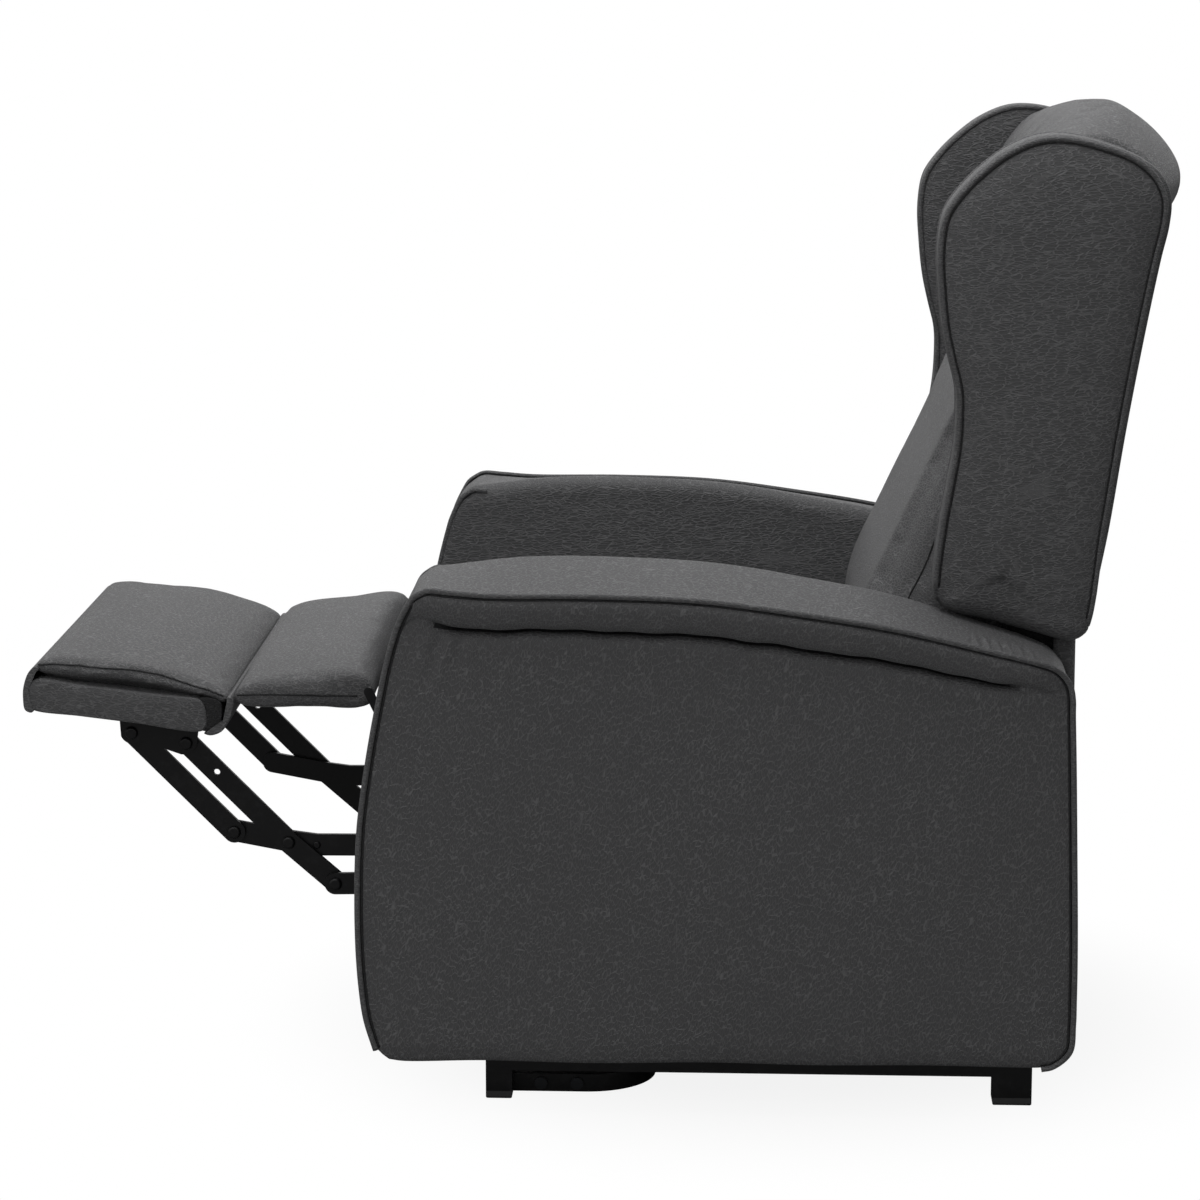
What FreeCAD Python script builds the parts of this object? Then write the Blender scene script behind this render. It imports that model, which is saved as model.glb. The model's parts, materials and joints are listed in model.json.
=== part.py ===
"""Power lift recliner with a winged back, an open footrest linkage and a low lift base.

Millimetres. X runs across the chair, the sitter faces -Y and Z is up. The chair is drawn at rest
with the footrest out and the back upright, and moved at the end so that the middle of its floor
print is the origin. Side shapes are drawn in the Y-Z plane as (y, z) points.
"""
import FreeCAD, Part
import math
import os

V = FreeCAD.Vector
X_AXIS = V(1, 0, 0)
Y_AXIS = V(0, 1, 0)
Z_AXIS = V(0, 0, 1)
ORIGIN = V(0, 0, 0)

# Clearances
PIVOT_CLEAR = 0.08
SOFT_CLEAR = 0.4
LAYER_GAP = 0.6
SIDE_CLEAR = 3.0
ROD_CLEAR = 0.6
HEAD_GAP = 0.5
PLATE_GAP = 1.0

# Main sizes across the chair, from the middle plane
SEAT_HALF = 262.0
ARM_WIDTH = 128.0
ARM_OUTER = SEAT_HALF + ARM_WIDTH
WING_INSET = 24.0
WING_INNER = SEAT_HALF - WING_INSET
WING_THICK = 52.0
MECHANISM_INSET = 72.0
PLATE_X = SEAT_HALF - MECHANISM_INSET
PLATE_THICK = 4.0
ACTUATOR_INSET = 100.0
ACTUATOR_X = PLATE_X - ACTUATOR_INSET

# Wings, seen from the side
WING_CENTRE = (300.0, 790.0)
WING_OUTLINE = (
    (187.0, 560.0), ((199.5, 655.0), (207.0, 752.0)), ((193.0, 845.0), (184.0, 930.0)),
    ((206.0, 1000.0), (262.0, 1045.0)), ((318.0, 1058.0), (372.0, 1043.0)), ((412.0, 1018.0), (422.0, 975.0)),
    ((391.0, 790.0), (352.0, 545.0)), ((348.0, 519.0), (334.0, 512.0)), (207.0, 546.0),
    ((191.0, 549.0), (187.0, 560.0)),
)

# Arms, seen from the side
ARM_FRONT = -437.0
ARM_REAR = 337.0
ARM_BOTTOM = 62.0
ARM_BELLY_Z = 255.0
ARM_FRONT_LEAN = 24.0
ARM_FRONT_TOP_Z = 453.0
ARM_SHOULDER = (-397.0, 520.0)
ARM_CORNER = 32.0
ARM_COVER_WALL = 10.0
ARM_FLOOR_WALL = 14.0
ARM_PLY = 12.0
ARM_FRAME_RING = 46.0
ARM_WINDOW_RIM = 40.0
ARM_FRAME_LEAN = 30.0
ARM_FRAME_TOP = (60.0, 500.0)
ARM_FRAME_REAR_TOP = 446.0
PAD_SEAT = 10.0
PAD_HOOK = 0.3
ROLL_HEIGHT = 38.0
ROLL_FULL = 9.0

# Piping line along the outer top edge of an arm: y, height, how much higher the inner edge stands, and
# the roll beside it
ARM_STATIONS = (
    (-376.0, 563.0, 6.0, 0.6),
    (-352.0, 578.0, 9.0, 3.0),
    (-300.0, 577.0, 20.0, 9.0),
    (-215.0, 576.0, 25.0, 12.0),
    (-60.0, 572.0, 23.0, 12.0),
    (60.0, 556.0, 22.0, 12.0),
    (170.0, 535.0, 15.5, 11.0),
    (262.0, 514.0, 8.0, 7.0),
    (308.0, 502.0, 2.0, 2.0),
    (330.0, 484.0, 0.5, 0.6),
)
ARM_INNER_R = 16.0
ARM_TOP_BULGE = 4.0

# Seat
SEAT_FRAME_BOTTOM = 330.0
SEAT_FRAME_HEIGHT = 65.0
SEAT_FRAME_FRONT = -402.0
SEAT_FRAME_REAR = 168.0
SEAT_RAIL = 20.0
SEAT_CUSHION_TOP = 478.0
SEAT_CUSHION_REAR = 76.0
SEAT_CUSHION_FRONT = -431.0
SEAT_CUSHION_MIDDLE = -170.0
SEAT_CROWN = 12.0
SEAT_NOSE_BACK = 24.0
SEAT_NOSE_LIFT = 7.0
SEAT_STRAPS = 6
STRAP_INSET = 4.0
WEB_THICK = 1.6
WEB_WIDTH = 52.0

# Footrest linkage pivots
PIVOT_B = (-537.5, 247.5)
LINK_PITCH = (-62.0, 11.5)
PIVOT_A = (PIVOT_B[0] + LINK_PITCH[0], PIVOT_B[1] + LINK_PITCH[1])
PIVOT_D = (-484.0, 201.0)
PIVOT_P2 = (-652.0, 363.0)
PIVOT_P1 = (PIVOT_P2[0] + LINK_PITCH[0], PIVOT_P2[1] + LINK_PITCH[1])
PIVOT_E = (-325.0, 322.0)
PIVOT_F = (PIVOT_E[0] + PIVOT_D[0] - PIVOT_B[0], PIVOT_E[1] + PIVOT_D[1] - PIVOT_B[1])
DRIVE_RIVET = (-506.0, 243.5)
DRIVE_KNEE = (-432.0, 244.0)
LOWER_KNEE = (-400.0, 203.0)
SPARE_HOLE = (-618.0, 329.0)
SPARE_HOLE_R = 3.6
LINK_STACK = 24.0
LINK_X = PLATE_X - LINK_STACK
LINK_WIDTH = 25.0
LINK_THICK = 5.0
LINK_PITCH_X = LINK_THICK + LAYER_GAP
RIVET_R = 4.0
RIVET_HEAD_R = 7.5
RIVET_HEAD = 3.2
SMALL_RIVET_SHARE = 0.6
TORQUE_TUBE_R = 10.0
TORQUE_STUB_R = 8.0
TORQUE_STUB_END = 3.0

# Footrest and calf pad; the calf pad's ears stand on the seat frame beside the arms
CALF_LEAF = 4.0
CALF_EAR_ROOT = 12.0
CALF_EAR_X = SEAT_HALF - SIDE_CLEAR - CALF_EAR_ROOT
CALF_EAR_GAP = 2.0
FOOT_HALF = CALF_EAR_X - CALF_EAR_GAP
FOOT_TIP = -822.0
FOOT_REAR = -600.0
FOOT_REAR_Z = 387.0
FOOT_SLOPE = -0.1216
FOOT_BASE_THICK = 27.0
FOOT_EDGE_R = 7.0
FOOT_BOARD = 12.0
FOOT_COVER_WALL = 4.0
FOOT_MIDDLE = (FOOT_TIP + FOOT_REAR) / 2
FOOT_SEAM_TIP = (FOOT_TIP + 10.0, 471.0)
FOOT_SEAM_MIDDLE = (FOOT_MIDDLE + 13.0, 467.0)
FOOT_SEAM_REAR = (FOOT_REAR + 8.0, 433.0)
FOOT_TIP_BULGE = (FOOT_TIP + 6.0, 456.0)
FOOT_REAR_BULGE = (FOOT_REAR + 3.0, 419.0)
FOOT_CUSHION_CENTRE = (FOOT_MIDDLE, 430.0)
FOOT_TIP_BACK = 22.0
FOOT_REAR_BACK = 16.0
FOOT_CROWN = 12.0
BRACKET_DROP = 13.0
BRACKET_WALL = 3.0
BRACKET_FLANGE = 30.0
BRACKET_FRONT = 14.0
BRACKET_REAR = 16.0
CALF_HINGE = (-436.6, 440.0)
CALF_TIP = -590.0
CALF_SEAM_Z = 432.0
CALF_SEAM_DROP = 4.0
CALF_BOARD = 12.0
CALF_PIN_R = 2.5
CALF_LEAF_WIDTH = 11.0
CALF_EAR_FOOT = (-407.0, 379.0)
CALF_EAR_PLATE = 3.0
CALF_EAR_REACH = 14.0
CALF_CROWN = 13.0

# Lift base
RAIL_INSET = 61.0
RAIL_X = SEAT_HALF + RAIL_INSET
RAIL_WIDTH = 30.0
RAIL_BOTTOM = 33.0
RAIL_HEIGHT = 26.0
RAIL_WALL = 2.5
RAIL_FRONT = -302.0
RAIL_REAR = 299.0
FRONT_FOOT_LENGTH = 29.0
REAR_FOOT_LENGTH = 43.0
FOOT_CAP = 9.0
FOOT_CAP_EDGE = 3.0
BASE_TUBE_DEPTH = 28.0
MID_TUBE_Y = -134.0
FRONT_BAR_X = RAIL_X - RAIL_WIDTH / 2
FRONT_BAR_Y = -127.0
FRONT_BAR_R = 65.0
FRONT_BAR_SIZE = 20.0
FRONT_BAR_Z = 3.0
BASE_BOLT_R = 7.0
BASE_BOLT_HEAD = 4.0
BASE_BOLTS_BACK = (60.0, 100.0)

# Lift links, layered on both sides of the side plates
LIFT_R0 = (-150.0, 100.0)
LIFT_R1 = (188.0, 128.0)
LIFT_F0 = (-181.0, 86.0)
LIFT_F1 = (60.0, 95.0)
LIFT_LINK_THICK = 6.0
LIFT_LINK_WIDTH = 28.0
LIFT_TUBE_R = 12.5
LIFT_PIN_R = 6.0
LIFT_HEAD_R = 9.0
LIFT_SLACK = 0.5
REAR_LINK_X = PLATE_X - PLATE_GAP - LIFT_LINK_THICK
FRONT_LINK_GAP = 4.0
FRONT_LINK_X = PLATE_X + PLATE_THICK + FRONT_LINK_GAP
BASE_EAR_GAP = 3.0
BASE_EAR_X = FRONT_LINK_X + LIFT_LINK_THICK + BASE_EAR_GAP
BASE_EAR_WIDTH = 30.0
BEARING_INSET = 50.0
BEARING_X = PLATE_X - BEARING_INSET

# Chassis side plates
PLATE_TOP = SEAT_FRAME_BOTTOM
PLATE_FRONT = -350.0
PLATE_REAR = 246.0
PLATE_WAIST = (-60.0, 262.0)
PLATE_TAIL_Z = 210.0
PLATE_HEEL_Z = 240.0
LOBE_R = 20.0
LOBE_SPREAD = 26.0
FLANGE_FRONT = -300.0
FLANGE_INSET = 4.0
TUBE_WALL = 2.5
CROSS_TUBE_R = 12.5
FRONT_TUBE_Z = 276.0
REAR_TUBE_BACK = 8.0
REAR_TUBE_DROP = 23.0

# Back
BACK_PIVOT = (225.0, 300.0)
BACK_BRACKET_GAP = 6.0
BACK_BRACKET_X = PLATE_X - BACK_BRACKET_GAP
BACK_BRACKET_THICK = 5.0
BACK_TUBE_R = 12.5
POST_WIDTH = 28.0
POST_DEPTH = 58.0
POST_FOOT = (300.0, 450.0)
POST_HEAD = (380.0, 972.0)
BACK_RAIL_HEIGHT = 40.0
BACK_RAIL_DEPTH = 18.0
BACK_RAIL_INSET = 4.0
BACK_RAIL_SHARES = (0.06, 0.5, 0.95)
BACK_STRAP_SHARES = (0.2, 0.37, 0.54, 0.71, 0.88)
BRACKET_WIDTH = 28.0
BRACKET_KNEE = (248.0, 400.0)
BRACKET_TOP_SHARE = 0.2
BRACKET_STEP = (-16.0, 14.0, -38.0)
BACK_BATTEN = 20.0
BACK_CROWN = (5.0, 2.0)
BACK_CUSHION_CENTRE = (190.0, 640.0)
BACK_CUSHION_FACE = (
    (243.0, 812.0), ((196.0, 716.0), (134.0, 588.0)), ((98.0, 505.0), (98.0, 452.0)),
    ((118.0, 432.0), (150.0, 432.0)),
)
HEADREST_GAP = 10.0
HEADREST_STEP = 4.0
HEADREST_CENTRE = (250.0, 830.0)
HEADREST_DOME = (38.0, 24.0)
HEADREST_END_R = 6.0
HEADREST_HEEL_Z = 952.0
HEADREST_REAR = 463.0
HEADREST_TOP = 1080.0
HEADREST_FACE = (
    (HEADREST_REAR, 940.0), ((466.0, 966.0), (463.0, 990.0)), ((447.0, 1034.0), (404.0, 1069.0)),
    ((356.0, HEADREST_TOP), (310.0, 1054.0)), ((273.0, 945.0), (246.0, 826.0)),
)
REAR_COVER_THICK = 5.0
REAR_COVER_LOW = 512.0
REAR_COVER_HIGH = 942.0
SKIRT_INSET = 6.0
SKIRT_HALF = SEAT_HALF - SKIRT_INSET
SKIRT_Y = 338.5
SKIRT_LOW = 334.0
SKIRT_TOP = 508.0
SKIRT_THICK = 4.5
SKIRT_RETURN = 22.0
SKIRT_RETURN_LOW = 400.0
PANEL_REAR = 328.0
PANEL_BOARD = 12.0
PANEL_TOP = 341.0
PANEL_RAISE = 6.0
PANEL_RAIL_DEPTH = 26.0
PANEL_RAIL_Z = (92.0, 122.0)

# Actuators: distance off the middle plane, tail pivot, crank centre, crank radius and angle at rest,
# side of the motor, how far the rod is drawn in at rest, the play between the fork's eye and its pin,
# and how far the eye sits off the pin at rest, which shares the play out over the travel
GEAR_FRONT = 22.0
GEAR_LENGTH = 52.0
GEAR_HALF = 24.0
GEAR_EDGE = 5.0
MOTOR_R = 20.0
MOTOR_LENGTH = 78.0
TUBE_R = 15.0
ROD_R = 9.0
ROD_LAP = 12.0
CLEVIS_PIN_R = 4.0
CLEVIS_WALL = 5.0
EAR_THICK = 5.0
EAR_R = 13.0
LUG_THICK = 8.0
PIN_END = 2.0
LIFT_ACTUATOR = {"x": 0.0, "clevis": (262.0, 82.0), "crank": LIFT_R0, "radius": 80.0, "angle": 67.5,
                 "motor": 1, "drawn": 0.0, "slack": 3.4, "eye": (0.11, 2.94)}
FOOT_ACTUATOR = {"x": ACTUATOR_X, "clevis": (110.0, 335.0), "crank": PIVOT_E, "radius": 32.0, "angle": -137.5,
                 "motor": -1, "drawn": 52.0, "slack": 6.1, "eye": (-0.17, -5.36)}
BACK_ACTUATOR = {"x": -ACTUATOR_X, "clevis": (-170.0, 335.0), "crank": BACK_PIVOT, "radius": 80.0,
                 "angle": -70.0, "motor": 1, "drawn": 56.0, "slack": 2.8, "eye": (0.14, -2.24)}
FRONT_TUBE = (BACK_ACTUATOR["clevis"][0], FRONT_TUBE_Z)
REAR_TUBE = (FOOT_ACTUATOR["clevis"][0] + REAR_TUBE_BACK, FOOT_ACTUATOR["clevis"][1] - REAR_TUBE_DROP)

# Switch panel in the right arm, and the power box on the right side plate
PANEL_Y = -150.0
PANEL_Z = 470.0
PANEL_LENGTH = 112.0
PANEL_HEIGHT = 42.0
PANEL_THICK = 4.0
PANEL_CORNER = 12.0
PANEL_LIP = 5.0
ROCKER_PITCH = 34.0
ROCKER_LENGTH = 26.0
ROCKER_HEIGHT = 22.0
ROCKER_GAP = 0.8
ROCKER_FLOOR = 2.0
ROCKER_AXLE_R = 1.5
ROCKER_ROOT = (7.5, 5.0)
ROCKER_CURVE = (0.4, 1.0, 0.6)
POWER_BOX_WIDTH = 52.0
POWER_BOX_Y = (-60.0, 70.0)
POWER_BOX_Z = (268.0, 324.0)
POWER_BOX_EDGE = 4.0

parts = {}


def trace(outline, at):
    """Close a wire through an outline: a point ends a line, a pair of points is an arc's middle and end."""
    edges = []
    last = outline[0]
    for step in outline[1:] + [outline[0]]:
        if isinstance(step[0], tuple):
            middle, end = step
            edges.append(Part.Arc(at(*last), at(*middle), at(*end)).toShape())
        else:
            end = step
            if math.dist(last, end) > 1e-6:
                edges.append(Part.LineSegment(at(*last), at(*end)).toShape())
        last = end
    return Part.Wire(edges)


def at_x(x):
    return lambda y, z: V(x, y, z)


def at_y(y):
    return lambda x, z: V(x, y, z)


def at_z(z):
    return lambda x, y: V(x, y, z)


def side_plate(outline, x, thick):
    """Plate of a side outline, from x to x + thick."""
    return Part.Face(trace(outline, at_x(x))).extrude(V(thick, 0, 0))


def block(x0, x1, y0, y1, z0, z1):
    return Part.makeBox(x1 - x0, y1 - y0, z1 - z0, V(x0, y0, z0))


def rod_x(centre, radius, x0, x1):
    """Round bar along X through a (y, z) point."""
    return Part.makeCylinder(radius, x1 - x0, V(x0, centre[0], centre[1]), X_AXIS)


def mirrored(shape):
    return shape.mirror(ORIGIN, X_AXIS)


def pair(shape):
    """The same solid on the left and, mirrored, on the right."""
    return Part.Compound([shape, mirrored(shape)])


def bar(points, width, x, thick):
    """Flat bar with round ends that runs through (y, z) points."""
    whole = None
    radius = width / 2
    for start, end in zip(points, points[1:]):
        run = V(0, end[0] - start[0], end[1] - start[1])
        length = run.Length
        piece = block(x, x + thick, 0, length, -radius, radius)
        piece = piece.fuse([rod_x((0, 0), radius, x, x + thick), rod_x((length, 0), radius, x, x + thick)])
        piece.rotate(ORIGIN, X_AXIS, math.degrees(math.atan2(run.z, run.y)))
        piece.translate(V(0, start[0], start[1]))
        whole = piece if whole is None else whole.fuse(piece)
    return whole.removeSplitter()


def drilled(shape, centres, radius):
    box = shape.BoundBox
    for centre in centres:
        shape = shape.cut(rod_x(centre, radius, box.XMin - 1, box.XMax + 1))
    return shape


def rivet(centre, radius, head_radius, head, x_root, x_tip):
    """Shank from x_root out to x_tip with a domed head on its far end."""
    shank = rod_x(centre, radius, x_root, x_tip)
    flat = 0.55 * head_radius
    shoulder = (x_tip + 0.75 * head, 0.86 * head_radius)
    profile = [(x_tip, 0), (x_tip, head_radius), (shoulder, (x_tip + head, flat)), (x_tip + head, 0)]
    dome = Part.Face(trace(profile, lambda x, r: V(x, centre[0] + r, centre[1])))
    dome = dome.revolve(V(0, centre[0], centre[1]), X_AXIS, 360)
    return shank.fuse(dome).removeSplitter()


def scaled(outline, factors, centre):
    """The outline stretched from its centre by a factor along y and one along z."""
    def move(point):
        return tuple(c + (p - c) * factor for p, c, factor in zip(point, centre, factors))
    return [tuple(move(p) for p in step) if isinstance(step[0], tuple) else move(step) for step in outline]


def pillow(outline, centre, half, crown, edge):
    """Soft form lofted across the chair, swollen by crown (along y, along z) towards the middle."""
    points = [p for step in outline for p in (step if isinstance(step[0], tuple) else [step])]
    reach = [max(abs(p[i] - centre[i]) for p in points) for i in (0, 1)]
    wires = []
    for x, rise, draw in ((-1, 0, 1), (-0.93, 0.1, 0.15), (-0.5, 0.8, 0), (0, 1, 0),
                          (0.5, 0.8, 0), (0.93, 0.1, 0.15), (1, 0, 1)):
        factors = [1 + (rise * c - draw * edge) / r for c, r in zip(crown, reach)]
        wires.append(trace(scaled(outline, factors, centre), at_x(x * half)))
    return Part.makeLoft(wires, True, False)


def slope_z(y):
    """Underside of the footrest base at y."""
    return FOOT_REAR_Z + (y - FOOT_REAR) * FOOT_SLOPE


def arm_outline():
    """Side of an arm up to the seat of its pad."""
    front_low = (ARM_FRONT + ARM_FRONT_LEAN, ARM_BOTTOM + ARM_CORNER)
    front_high = (ARM_FRONT + ARM_FRONT_LEAN, ARM_FRONT_TOP_Z)
    shoulder = [(y, z - PAD_SEAT / 2) for y, z, rise, roll in ARM_STATIONS]
    corner = ARM_CORNER * (1 - math.sqrt(0.5))
    return [(ARM_REAR, ARM_BELLY_Z), (ARM_REAR, ARM_BOTTOM + ARM_CORNER),
            ((ARM_REAR - corner, ARM_BOTTOM + corner), (ARM_REAR - ARM_CORNER, ARM_BOTTOM)),
            (front_low[0] + ARM_CORNER, ARM_BOTTOM),
            ((front_low[0] + corner, ARM_BOTTOM + corner), front_low),
            ((ARM_FRONT, ARM_BELLY_Z), front_high),
            (ARM_SHOULDER, shoulder[0])] + shoulder[1:]


def make_arm_cover(pad):
    """Upholstered side, fitted round the frame and under the pad."""
    cavity = side_plate(arm_cavity_outline(0), SEAT_HALF + ARM_COVER_WALL, ARM_WIDTH - 2 * ARM_COVER_WALL)
    return side_plate(arm_outline(), SEAT_HALF, ARM_WIDTH).cut(pad).cut(cavity)


def arm_cavity_outline(inset):
    """Inside of the arm cover, drawn in by inset from its walls."""
    front = ARM_FRONT + ARM_FRONT_LEAN + ARM_COVER_WALL + inset
    rear = ARM_REAR - ARM_COVER_WALL - inset
    low = ARM_BOTTOM + ARM_FLOOR_WALL + inset
    knee, top = ARM_FRAME_TOP[0], ARM_FRAME_TOP[1] - inset
    return [(front, low), (rear, low), (rear, ARM_FRAME_REAR_TOP - inset), (knee, top),
            (front + ARM_FRAME_LEAN, top)]


def make_arm_frame():
    """Plywood box of two sheets with a ring of battens between them."""
    x0 = SEAT_HALF + ARM_COVER_WALL
    width = ARM_WIDTH - 2 * ARM_COVER_WALL
    box = side_plate(arm_cavity_outline(0), x0, width)
    hollow = side_plate(arm_cavity_outline(ARM_FRAME_RING), x0 + ARM_PLY, width - 2 * ARM_PLY)
    window = side_plate(arm_cavity_outline(ARM_FRAME_RING + ARM_WINDOW_RIM), x0 - 1, width + 2)
    return box.cut(hollow).cut(window)


def make_arm_pad():
    """Pad that rises from the piping to a rounded inner edge, with a roll that hangs over the outer side."""
    wires = []
    inner = SEAT_HALF
    outer = ARM_OUTER + PAD_HOOK
    for y, z, rise, roll in ARM_STATIONS:
        edge = outer + PAD_HOOK + roll
        roll_z = z - max(ROLL_HEIGHT * min(1, roll / ROLL_FULL), PAD_SEAT + 2)
        radius = min(ARM_INNER_R, rise + PAD_SEAT - 2)
        corner = radius * (1 - math.sqrt(0.5))
        profile = [(inner, z - PAD_SEAT), (outer, z - PAD_SEAT), (outer, roll_z),
                   ((edge + 0.2, (roll_z + z) / 2), (outer + 0.4 + 0.7 * roll, z)),
                   (((inner + outer) / 2, z + 0.6 * rise + ARM_TOP_BULGE), (inner + radius, z + rise)),
                   ((inner + corner, z + rise - corner), (inner, z + rise - radius))]
        wires.append(trace(profile, at_y(y)))
    return Part.makeLoft(wires, True, False)


def make_arms():
    frame = make_arm_frame()
    pad = make_arm_pad()
    cover = make_arm_cover(pad)
    for side, place in (("left", lambda s: s), ("right", mirrored)):
        parts[side + "_arm_frame"] = place(frame)
        parts[side + "_arm_pad"] = place(pad)
        parts[side + "_arm_cover"] = place(cover)


def make_seat():
    z0, z1 = SEAT_FRAME_BOTTOM, SEAT_FRAME_BOTTOM + SEAT_FRAME_HEIGHT
    ring = block(-SEAT_HALF, SEAT_HALF, SEAT_FRAME_FRONT, SEAT_FRAME_REAR, z0, z1)
    ring = ring.cut(block(-SEAT_HALF + SEAT_RAIL, SEAT_HALF - SEAT_RAIL, SEAT_FRAME_FRONT + SEAT_RAIL,
                          SEAT_FRAME_REAR - SEAT_RAIL, z0 - 1, z1 + 1))
    parts["seat_frame"] = ring
    straps = []
    span = SEAT_FRAME_REAR - SEAT_FRAME_FRONT - 2 * SEAT_RAIL
    half = SEAT_HALF - STRAP_INSET
    for i in range(SEAT_STRAPS):
        y = SEAT_FRAME_FRONT + SEAT_RAIL + span * (i + 0.5) / SEAT_STRAPS
        straps.append(block(-half, half, y - WEB_WIDTH / 2, y + WEB_WIDTH / 2, z1, z1 + WEB_THICK))
    parts["seat_webbing"] = Part.Compound(straps)
    bottom = z1 + WEB_THICK
    nose_low = CALF_HINGE[1] + SEAT_NOSE_LIFT
    front, rear, top = SEAT_CUSHION_FRONT, SEAT_CUSHION_REAR, SEAT_CUSHION_TOP
    back = front + SEAT_NOSE_BACK
    outline = [(back, bottom), (rear, bottom), ((rear + 5, (bottom + top) / 2), (rear - 3, top - 10)),
               ((SEAT_CUSHION_MIDDLE + 20, top + 1), (front + 30, top - 8)),
               ((front + 4, top - 16), (front + 10, nose_low)), (back, nose_low)]
    middle = (SEAT_CUSHION_MIDDLE, bottom)
    cushion = pillow(outline, middle, SEAT_HALF - SIDE_CLEAR, (2.0, SEAT_CROWN), 4.0)
    below = block(-SEAT_HALF, SEAT_HALF, front - 50, rear + 50, z0, bottom)
    parts["seat_cushion"] = cushion.cut(below)


def crank_pin(actuator):
    angle = math.radians(actuator["angle"])
    y, z = actuator["crank"]
    return (y + actuator["radius"] * math.cos(angle), z + actuator["radius"] * math.sin(angle))


def make_crank(actuator, root_radius):
    """Lug on a cross tube that ends at the crank pin, with the pin through it."""
    x = actuator["x"]
    pin = crank_pin(actuator)
    lug = bar([actuator["crank"], pin], 2 * (CLEVIS_PIN_R + CLEVIS_WALL + 1), x - LUG_THICK / 2, LUG_THICK)
    lug = lug.cut(rod_x(actuator["crank"], root_radius, x - LUG_THICK, x + LUG_THICK))
    reach = LUG_THICK / 2 + LAYER_GAP + EAR_THICK + PIN_END
    return lug.fuse(rod_x(pin, CLEVIS_PIN_R, x - reach, x + reach)).removeSplitter()


def make_actuator(name, actuator):
    """Geared motor with an outer tube and a sliding rod that ends in a fork round the crank pin."""
    x = actuator["x"]
    tail = actuator["clevis"]
    eye = [p + off for p, off in zip(crank_pin(actuator), actuator["eye"])]
    length = math.dist(tail, eye)
    aim = math.degrees(math.atan2(eye[1] - tail[1], eye[0] - tail[0]))
    fork_root = length - EAR_R - actuator["slack"] - ROD_LAP
    tube_end = fork_root - EAR_R - SIDE_CLEAR - actuator["drawn"]

    def along(start, end, radius, off=0.0):
        return Part.makeCylinder(radius, end - start, V(x + off, start, 0), Y_AXIS)

    gear = block(x - GEAR_HALF, x + GEAR_HALF, GEAR_FRONT, GEAR_FRONT + GEAR_LENGTH, -GEAR_HALF, GEAR_HALF)
    gear = gear.makeFillet(GEAR_EDGE, [e for e in gear.Edges if abs(e.tangentAt(e.FirstParameter).y) > 0.9])
    motor_start = GEAR_FRONT + GEAR_LENGTH
    motor = along(motor_start - 2, motor_start + MOTOR_LENGTH, MOTOR_R, actuator["motor"] * GEAR_FRONT)
    lug = bar([(0, 0), (GEAR_FRONT + 2, 0)], 2 * (CLEVIS_PIN_R + CLEVIS_WALL), x - LUG_THICK / 2, LUG_THICK)
    lug = drilled(lug, [(0, 0)], CLEVIS_PIN_R + PIVOT_CLEAR)
    housing = gear.fuse([lug, along(GEAR_FRONT, tube_end, TUBE_R), motor])
    housing = housing.cut(along(GEAR_FRONT + 8, tube_end + 1, ROD_R + ROD_CLEAR)).removeSplitter()
    rod = along(GEAR_FRONT + ROD_LAP + actuator["drawn"], fork_root, ROD_R)
    ear_x = LUG_THICK / 2 + LAYER_GAP
    for x0 in (x + ear_x, x - ear_x - EAR_THICK):
        rod = rod.fuse(bar([(fork_root, 0), (length, 0)], 2 * EAR_R, x0, EAR_THICK))
    web = block(x - ear_x - EAR_THICK, x + ear_x + EAR_THICK, fork_root - 8, fork_root + 1, -EAR_R, EAR_R)
    rod = drilled(rod.fuse(web), [(length, 0)], CLEVIS_PIN_R + actuator["slack"]).removeSplitter()
    for label, shape in (("housing", housing), ("rod", rod)):
        shape.rotate(ORIGIN, X_AXIS, aim)
        shape.translate(V(0, tail[0], tail[1]))
        parts[name + "_actuator_" + label] = shape


def make_clevis(actuator, carrier, carrier_radius):
    """Two ears on a cross member with a pin between them for an actuator's tail."""
    x = actuator["x"]
    clevis = actuator["clevis"]
    inner = LUG_THICK / 2 + LAYER_GAP
    ears = None
    for x0 in (x + inner, x - inner - EAR_THICK):
        ear = bar([carrier, clevis], 2 * (CLEVIS_PIN_R + CLEVIS_WALL), x0, EAR_THICK)
        ears = ear if ears is None else ears.fuse(ear)
    if carrier_radius:
        ears = ears.cut(rod_x(carrier, carrier_radius, x - 40, x + 40))
    reach = inner + EAR_THICK + PIN_END
    return ears.fuse(rod_x(clevis, CLEVIS_PIN_R, x - reach, x + reach))


def cross_tube(y):
    """Square tube between the two base rails."""
    x0 = RAIL_X - RAIL_WIDTH / 2
    half = BASE_TUBE_DEPTH / 2
    z0, z1 = RAIL_BOTTOM, RAIL_BOTTOM + RAIL_HEIGHT
    tube = block(-x0, x0, y - half, y + half, z0, z1)
    inside = half - RAIL_WALL
    return tube.cut(block(-x0 - 1, x0 + 1, y - inside, y + inside, z0 + RAIL_WALL, z1 - RAIL_WALL))


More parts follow.
